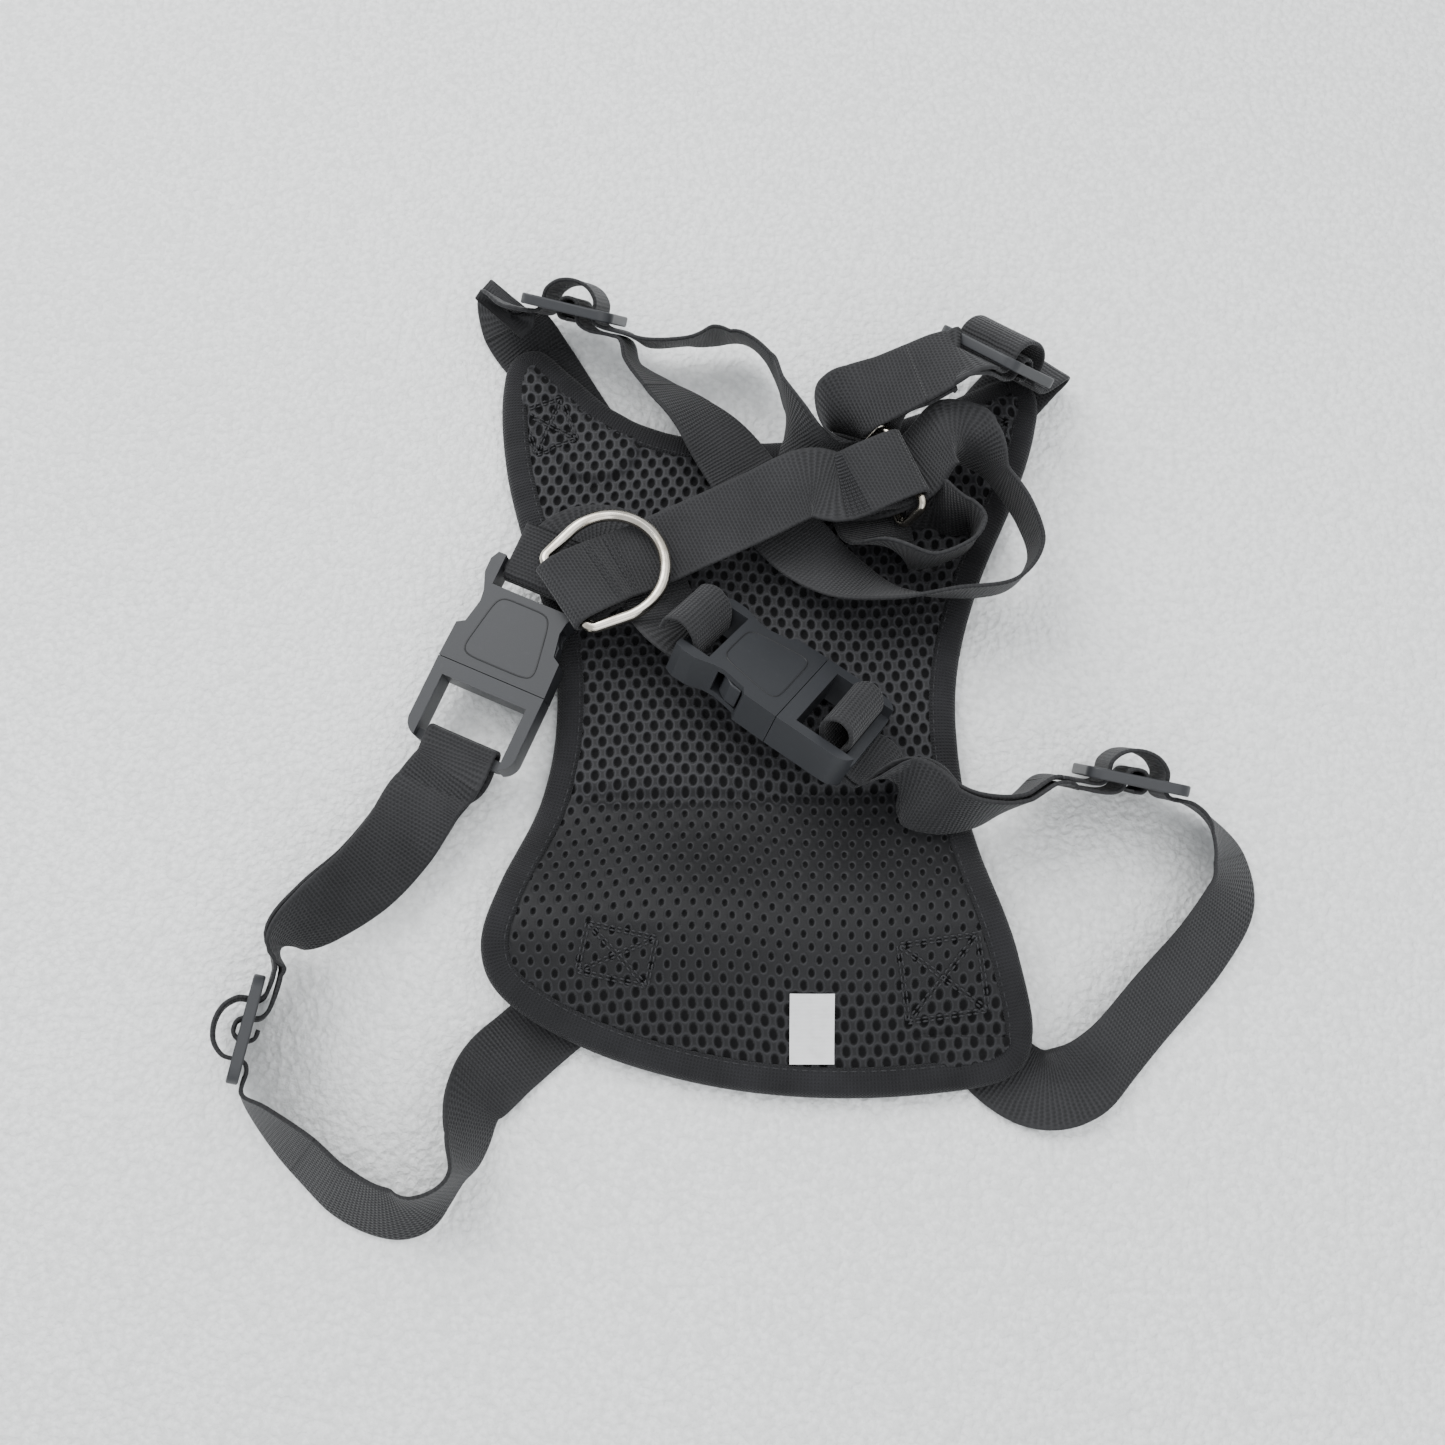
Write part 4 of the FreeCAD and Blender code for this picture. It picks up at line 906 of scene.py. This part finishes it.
class HARNESS_OT_binding(bpy.types.Operator):
    """Makes the woven tape round the pad's edge and its row of stitches"""
    bl_idname = "harness.binding"
    bl_label = "Edge binding"

    def execute(self, context):
        around = 420
        points, uv, across = binding_surface(around)
        tape = mesh_object("edge_tape", points, grid_faces(around, across, wrap_a=True), uv,
                           woven_finish("black binding tape", (0.006, 0.006, 0.0065), (0.020, 0.020, 0.022),
                                        0.0011, 0.7))
        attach(tape, "harness")
        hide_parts("edge_binding")
        starts, ends = binding_stitches()
        starts, ends = (np.column_stack([p, arch(p[:, 1]) + TAPE_TOP + 0.05]) for p in (starts, ends))
        thread_dashes("edge_tape_stitches", starts, ends, 0.06, 0.26, thread_finish())
        return {"FINISHED"}


class HARNESS_OT_sewn_boxes(bpy.types.Operator):
    """Makes the boxes with a cross that are sewn at the four strap ends"""
    bl_idname = "harness.sewn_boxes"
    bl_label = "Sewn boxes"

    def execute(self, context):
        starts, ends = [], []
        for px, py, width, height, degrees in STITCH_PATCHES:
            a = math.radians(degrees)
            turn = np.array([(math.cos(a), math.sin(a)), (-math.sin(a), math.cos(a))])
            c = np.array([(-1, -1), (1, -1), (1, 1), (-1, 1)]) * (width / 2, height / 2)
            lines = [(c[0], c[1]), (c[1], c[2]), (c[2], c[3]), (c[3], c[0]), (c[0], c[2]), (c[1], c[3])]
            for p, q in lines:
                reach = np.linalg.norm(q - p)
                count = max(int(reach / 2.2), 3)
                for offset in (-0.55, 0.55):
                    side = np.array([-(q - p)[1], (q - p)[0]]) / reach * offset
                    t = np.arange(count)[:, None] / count
                    a0 = p + (q - p) * t + side
                    starts.append(a0 @ turn + (px, py))
                    ends.append((a0 + (q - p) * 0.8 / count) @ turn + (px, py))
        starts, ends = np.vstack(starts), np.vstack(ends)
        ring = outline(600, BINDING_REACH + 0.8)
        inward = unit(outline(600, BINDING_REACH + 1.8) - ring)
        near = np.argmin(np.linalg.norm(ends[:, None] - ring[None], axis=2), axis=1)
        inside = np.sum((ends - ring[near]) * inward[near], axis=1) > 0
        starts, ends = starts[inside], ends[inside]
        boxes = thread_dashes("sewn_boxes", on_pad(starts, 0.12), on_pad(ends, 0.12), 0.25, 0.36, thread_finish())
        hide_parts("corner_stitching")
        return {"FINISHED"}


class HARNESS_OT_label(bpy.types.Operator):
    """Makes the white tape label by the belly edge"""
    bl_idname = "harness.label"
    bl_label = "Label"

    def execute(self, context):
        u, v = np.meshgrid(np.linspace(-0.5, 0.5, 13), np.linspace(-0.5, 0.5, 25), indexing="ij")
        x = LABEL_PLACE[0] + u * LABEL_SIZE[0]
        y = LABEL_PLACE[1] + v * LABEL_SIZE[1]
        z = pad_top(x, y) + 0.45 + 0.5 * (v + 0.5) ** 2 * np.abs(u * 2) ** 1.5
        faces = grid_faces(13, 25)
        top = np.stack([x, y, z], axis=-1).reshape(-1, 3)
        low = top - (0, 0, 0.25)
        uv = np.stack([u * LABEL_SIZE[0], v * LABEL_SIZE[1]], axis=-1).reshape(-1, 2) * MM
        obj = mesh_object("label_tape", np.vstack([top, low]),
                          np.vstack([faces, faces[:, ::-1] + len(top)]), np.vstack([uv, uv]), label_finish())
        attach(obj, "harness")
        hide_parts("size_label")
        return {"FINISHED"}


class HARNESS_OT_straps(bpy.types.Operator):
    """Makes the two shoulder straps and the two belly straps, cut where they bend with a slider or a clip"""
    bl_idname = "harness.straps"
    bl_label = "Shoulder and belly straps"

    def execute(self, context):
        for strap, data in strap_parts().items():
            lay_strap(strap, data, webbing_finish())
        return {"FINISHED"}


class HARNESS_OT_short_straps(bpy.types.Operator):
    """Makes the back strap and the cross strap, and the rows of stitches on the back strap"""
    bl_idname = "harness.short_straps"
    bl_label = "Back strap and cross strap"

    def execute(self, context):
        back, cross = back_route(), cross_route()
        for name, route in (("back_strap", back), ("cross_strap", cross)):
            obj = webbing(name + "_webbing", route, 0, len(route) - 1, webbing_finish())
            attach(obj, "harness")
            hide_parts(name)
        strap_stitches("back_strap_fold_stitches", back, np.linspace(12.02, 12.42, 9), 11.4, 18, 0.0, 1, "harness")
        strap_stitches("back_strap_ring_stitches", back, (6.05, 6.3, 7.0, 7.25), 11.0, 12, 0.0, 1, "harness")
        return {"FINISHED"}


def soften(obj, radius):
    """Rounds a moulded part's edges: doubles joined, edges over 32 degrees bevelled, faces kept flat."""
    weld = obj.modifiers.new("join", "WELD")
    weld.merge_threshold = 0.00001
    bevel = obj.modifiers.new("round", "BEVEL")
    bevel.width = radius
    bevel.segments = 3
    bevel.limit_method = "ANGLE"
    bevel.angle_limit = math.radians(32)
    bevel.harden_normals = False
    bevel.use_clamp_overlap = True
    normals = obj.modifiers.new("even", "WEIGHTED_NORMAL")
    normals.keep_sharp = True


def dress(node, material, radius=0.0):
    """Gives a frame part its finish and, if it is moulded, rounded edges."""
    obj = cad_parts[node]
    obj.data.materials.clear()
    obj.data.materials.append(material)
    if radius > 0:
        soften(obj, radius)


class HARNESS_OT_buckles(bpy.types.Operator):
    """Finishes the buckle halves and their prongs, and adds the line moulded on each female face, drawn as a thin
    tube of much darker plastic: painted shade.
    """
    bl_idname = "harness.buckles"
    bl_label = "Buckles"

    def execute(self, context):
        look = context.scene.harness_looks
        body = acetal_finish("dark satin plastic", tuple(look.plastic_tint))
        clip = acetal_finish("dark satin plastic, clip", tuple(c * 1.12 for c in look.plastic_tint))
        # much darker plastic for the moulded line on each face: painted shade of the line's channel, not a darker
        # plastic
        painted_groove_shade = acetal_finish("dark plastic, groove", tuple(c * 0.35 for c in look.plastic_tint))
        for side, place in BUCKLES.items():
            dress("buckle_female_" + side, body, look.edge_round)
            dress("buckle_male_" + side, clip, look.edge_round)
            dress("prong_%s_inner" % side, clip, look.edge_round * 0.7)
            dress("prong_%s_outer" % side, clip, look.edge_round * 0.7)
            for face in (1, -1):
                line = face_line(place, face)
                obj = tube("face_line_%s_%s" % (side, "up" if face > 0 else "down"), line, 0.28, painted_groove_shade)
                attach(obj, "harness")
        return {"FINISHED"}


def face_line(place, face):
    """A rounded trapezoid, narrow by the bar and wide by the mouth, on one face of a female half.

    A superellipse: each of cosine and sine is raised to LINE_POWER, and the half width grows along the half.
    """
    a = np.linspace(0, TURN, 96, endpoint=False)
    c, s = np.cos(a), np.sin(a)
    along = LINE_MIDDLE + np.sign(c) * np.abs(c) ** LINE_POWER * LINE_REACH
    half = LINE_HALF + (along - LINE_START) * LINE_FLARE
    o, u, v, n = place
    return (o + along[:, None] * u + (np.sign(s) * np.abs(s) ** LINE_POWER * half)[:, None] * v
            + face * LINE_LIFT * n)


def tube(name, path, radius, material):
    """A thin closed round line carried round a closed path: eight points round each place."""
    along = unit(np.roll(path, -1, axis=0) - np.roll(path, 1, axis=0))
    centre = path.mean(axis=0)
    out = path - centre
    side = unit(out - along * np.sum(out * along, axis=1, keepdims=True))
    up = np.cross(along, side)
    a = np.arange(8) * TURN / 8
    ring = path[:, None] + side[:, None] * (np.cos(a) * radius)[None, :, None] \
        + up[:, None] * (np.sin(a) * radius)[None, :, None]
    return mesh_object(name, ring.reshape(-1, 3), grid_faces(len(path), 8, wrap_a=True, wrap_b=True),
                       material=material)


class HARNESS_OT_sliders(bpy.types.Operator):
    """Finishes the four strap sliders"""
    bl_idname = "harness.sliders"
    bl_label = "Strap sliders"

    def execute(self, context):
        look = context.scene.harness_looks
        for key in SLIDERS:
            dress("slider_" + key, acetal_finish("dark satin plastic", tuple(look.plastic_tint)), look.edge_round)
        return {"FINISHED"}


class HARNESS_OT_rings(bpy.types.Operator):
    """Finishes the D-ring and the neck loop"""
    bl_idname = "harness.rings"
    bl_label = "Wire rings"

    def execute(self, context):
        for node in ("d_ring", "neck_loop"):
            dress(node, nickel_finish())
            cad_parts[node].data.polygons.foreach_set(
                "use_smooth", np.ones(len(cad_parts[node].data.polygons), bool))
        return {"FINISHED"}


class HARNESS_OT_studio(bpy.types.Operator):
    """Makes the floor, the soft lights and the camera"""
    bl_idname = "harness.studio"
    bl_label = "Studio"

    def execute(self, context):
        scene = context.scene
        x, y = np.meshgrid(np.linspace(-2500, 2500, 3), np.linspace(-2500, 2500, 3), indexing="ij")
        points = np.stack([x, y, np.full_like(x, -0.3)], axis=-1).reshape(-1, 3)
        floor = mesh_object("floor", points, grid_faces(3, 3), material=floor_finish())

        world = bpy.data.worlds.new("soft daylight")
        world.use_nodes = True
        world.node_tree.nodes["Background"].inputs["Color"].default_value = (0.93, 0.96, 1.0, 1)
        world.node_tree.nodes["Background"].inputs["Strength"].default_value = 1.05
        scene.world = world
        for name, size, power, place in (("window", 1.1, 23.0, (-0.75, 0.85, 1.25)),
                                         ("ceiling", 1.6, 12.0, (0.5, 0.1, 1.6)),
                                         ("front", 0.9, 4.0, (0.2, -1.1, 0.9))):
            light = bpy.data.lights.new(name, "AREA")
            light.size = size
            light.energy = power
            lamp = bpy.data.objects.new(name, light)
            lamp.location = place
            lamp.rotation_euler = (-Vector(place)).to_track_quat("-Z", "Y").to_euler()
            scene.collection.objects.link(lamp)

        lens = bpy.data.cameras.new("camera")
        lens.sensor_width = 36.0
        lens.lens = 37.37
        lens.clip_start = 0.01
        camera = bpy.data.objects.new("camera", lens)
        camera.location = (-0.014, -0.1476, 0.4902)
        aim = Vector((-0.014, -0.007, 0.0)) - Vector(camera.location)
        camera.rotation_euler = aim.to_track_quat("-Z", "Y").to_euler()
        scene.collection.objects.link(camera)
        scene.camera = camera
        return {"FINISHED"}


class HARNESS_PT_panel(bpy.types.Panel):
    """Lists the harness's settings and the steps that make it"""
    bl_idname = "HARNESS_PT_panel"
    bl_label = "Padded chest harness"
    bl_space_type = "VIEW_3D"
    bl_region_type = "UI"
    bl_category = "Harness"

    def draw(self, context):
        looks = context.scene.harness_looks
        for name in HarnessLooks.__annotations__:
            self.layout.prop(looks, name)
        for operator in STEPS:
            self.layout.operator(operator.bl_idname)


STEPS = (HARNESS_OT_pad, HARNESS_OT_binding, HARNESS_OT_sewn_boxes, HARNESS_OT_label, HARNESS_OT_straps,
         HARNESS_OT_short_straps, HARNESS_OT_buckles, HARNESS_OT_sliders, HARNESS_OT_rings, HARNESS_OT_studio)
CLASSES = (HarnessLooks,) + STEPS + (HARNESS_PT_panel,)


def register():
    for item in CLASSES:
        bpy.utils.register_class(item)
    bpy.types.Scene.harness_looks = bpy.props.PointerProperty(type=HarnessLooks)


def unregister():
    del bpy.types.Scene.harness_looks
    for item in reversed(CLASSES):
        bpy.utils.unregister_class(item)


def main():
    register()
    bpy.ops.harness.studio()
    bpy.ops.harness.pad()
    bpy.ops.harness.binding()
    bpy.ops.harness.sewn_boxes()
    bpy.ops.harness.label()
    bpy.ops.harness.straps()
    bpy.ops.harness.short_straps()
    bpy.ops.harness.buckles()
    bpy.ops.harness.sliders()
    bpy.ops.harness.rings()


if __name__ == "__main__":
    main()
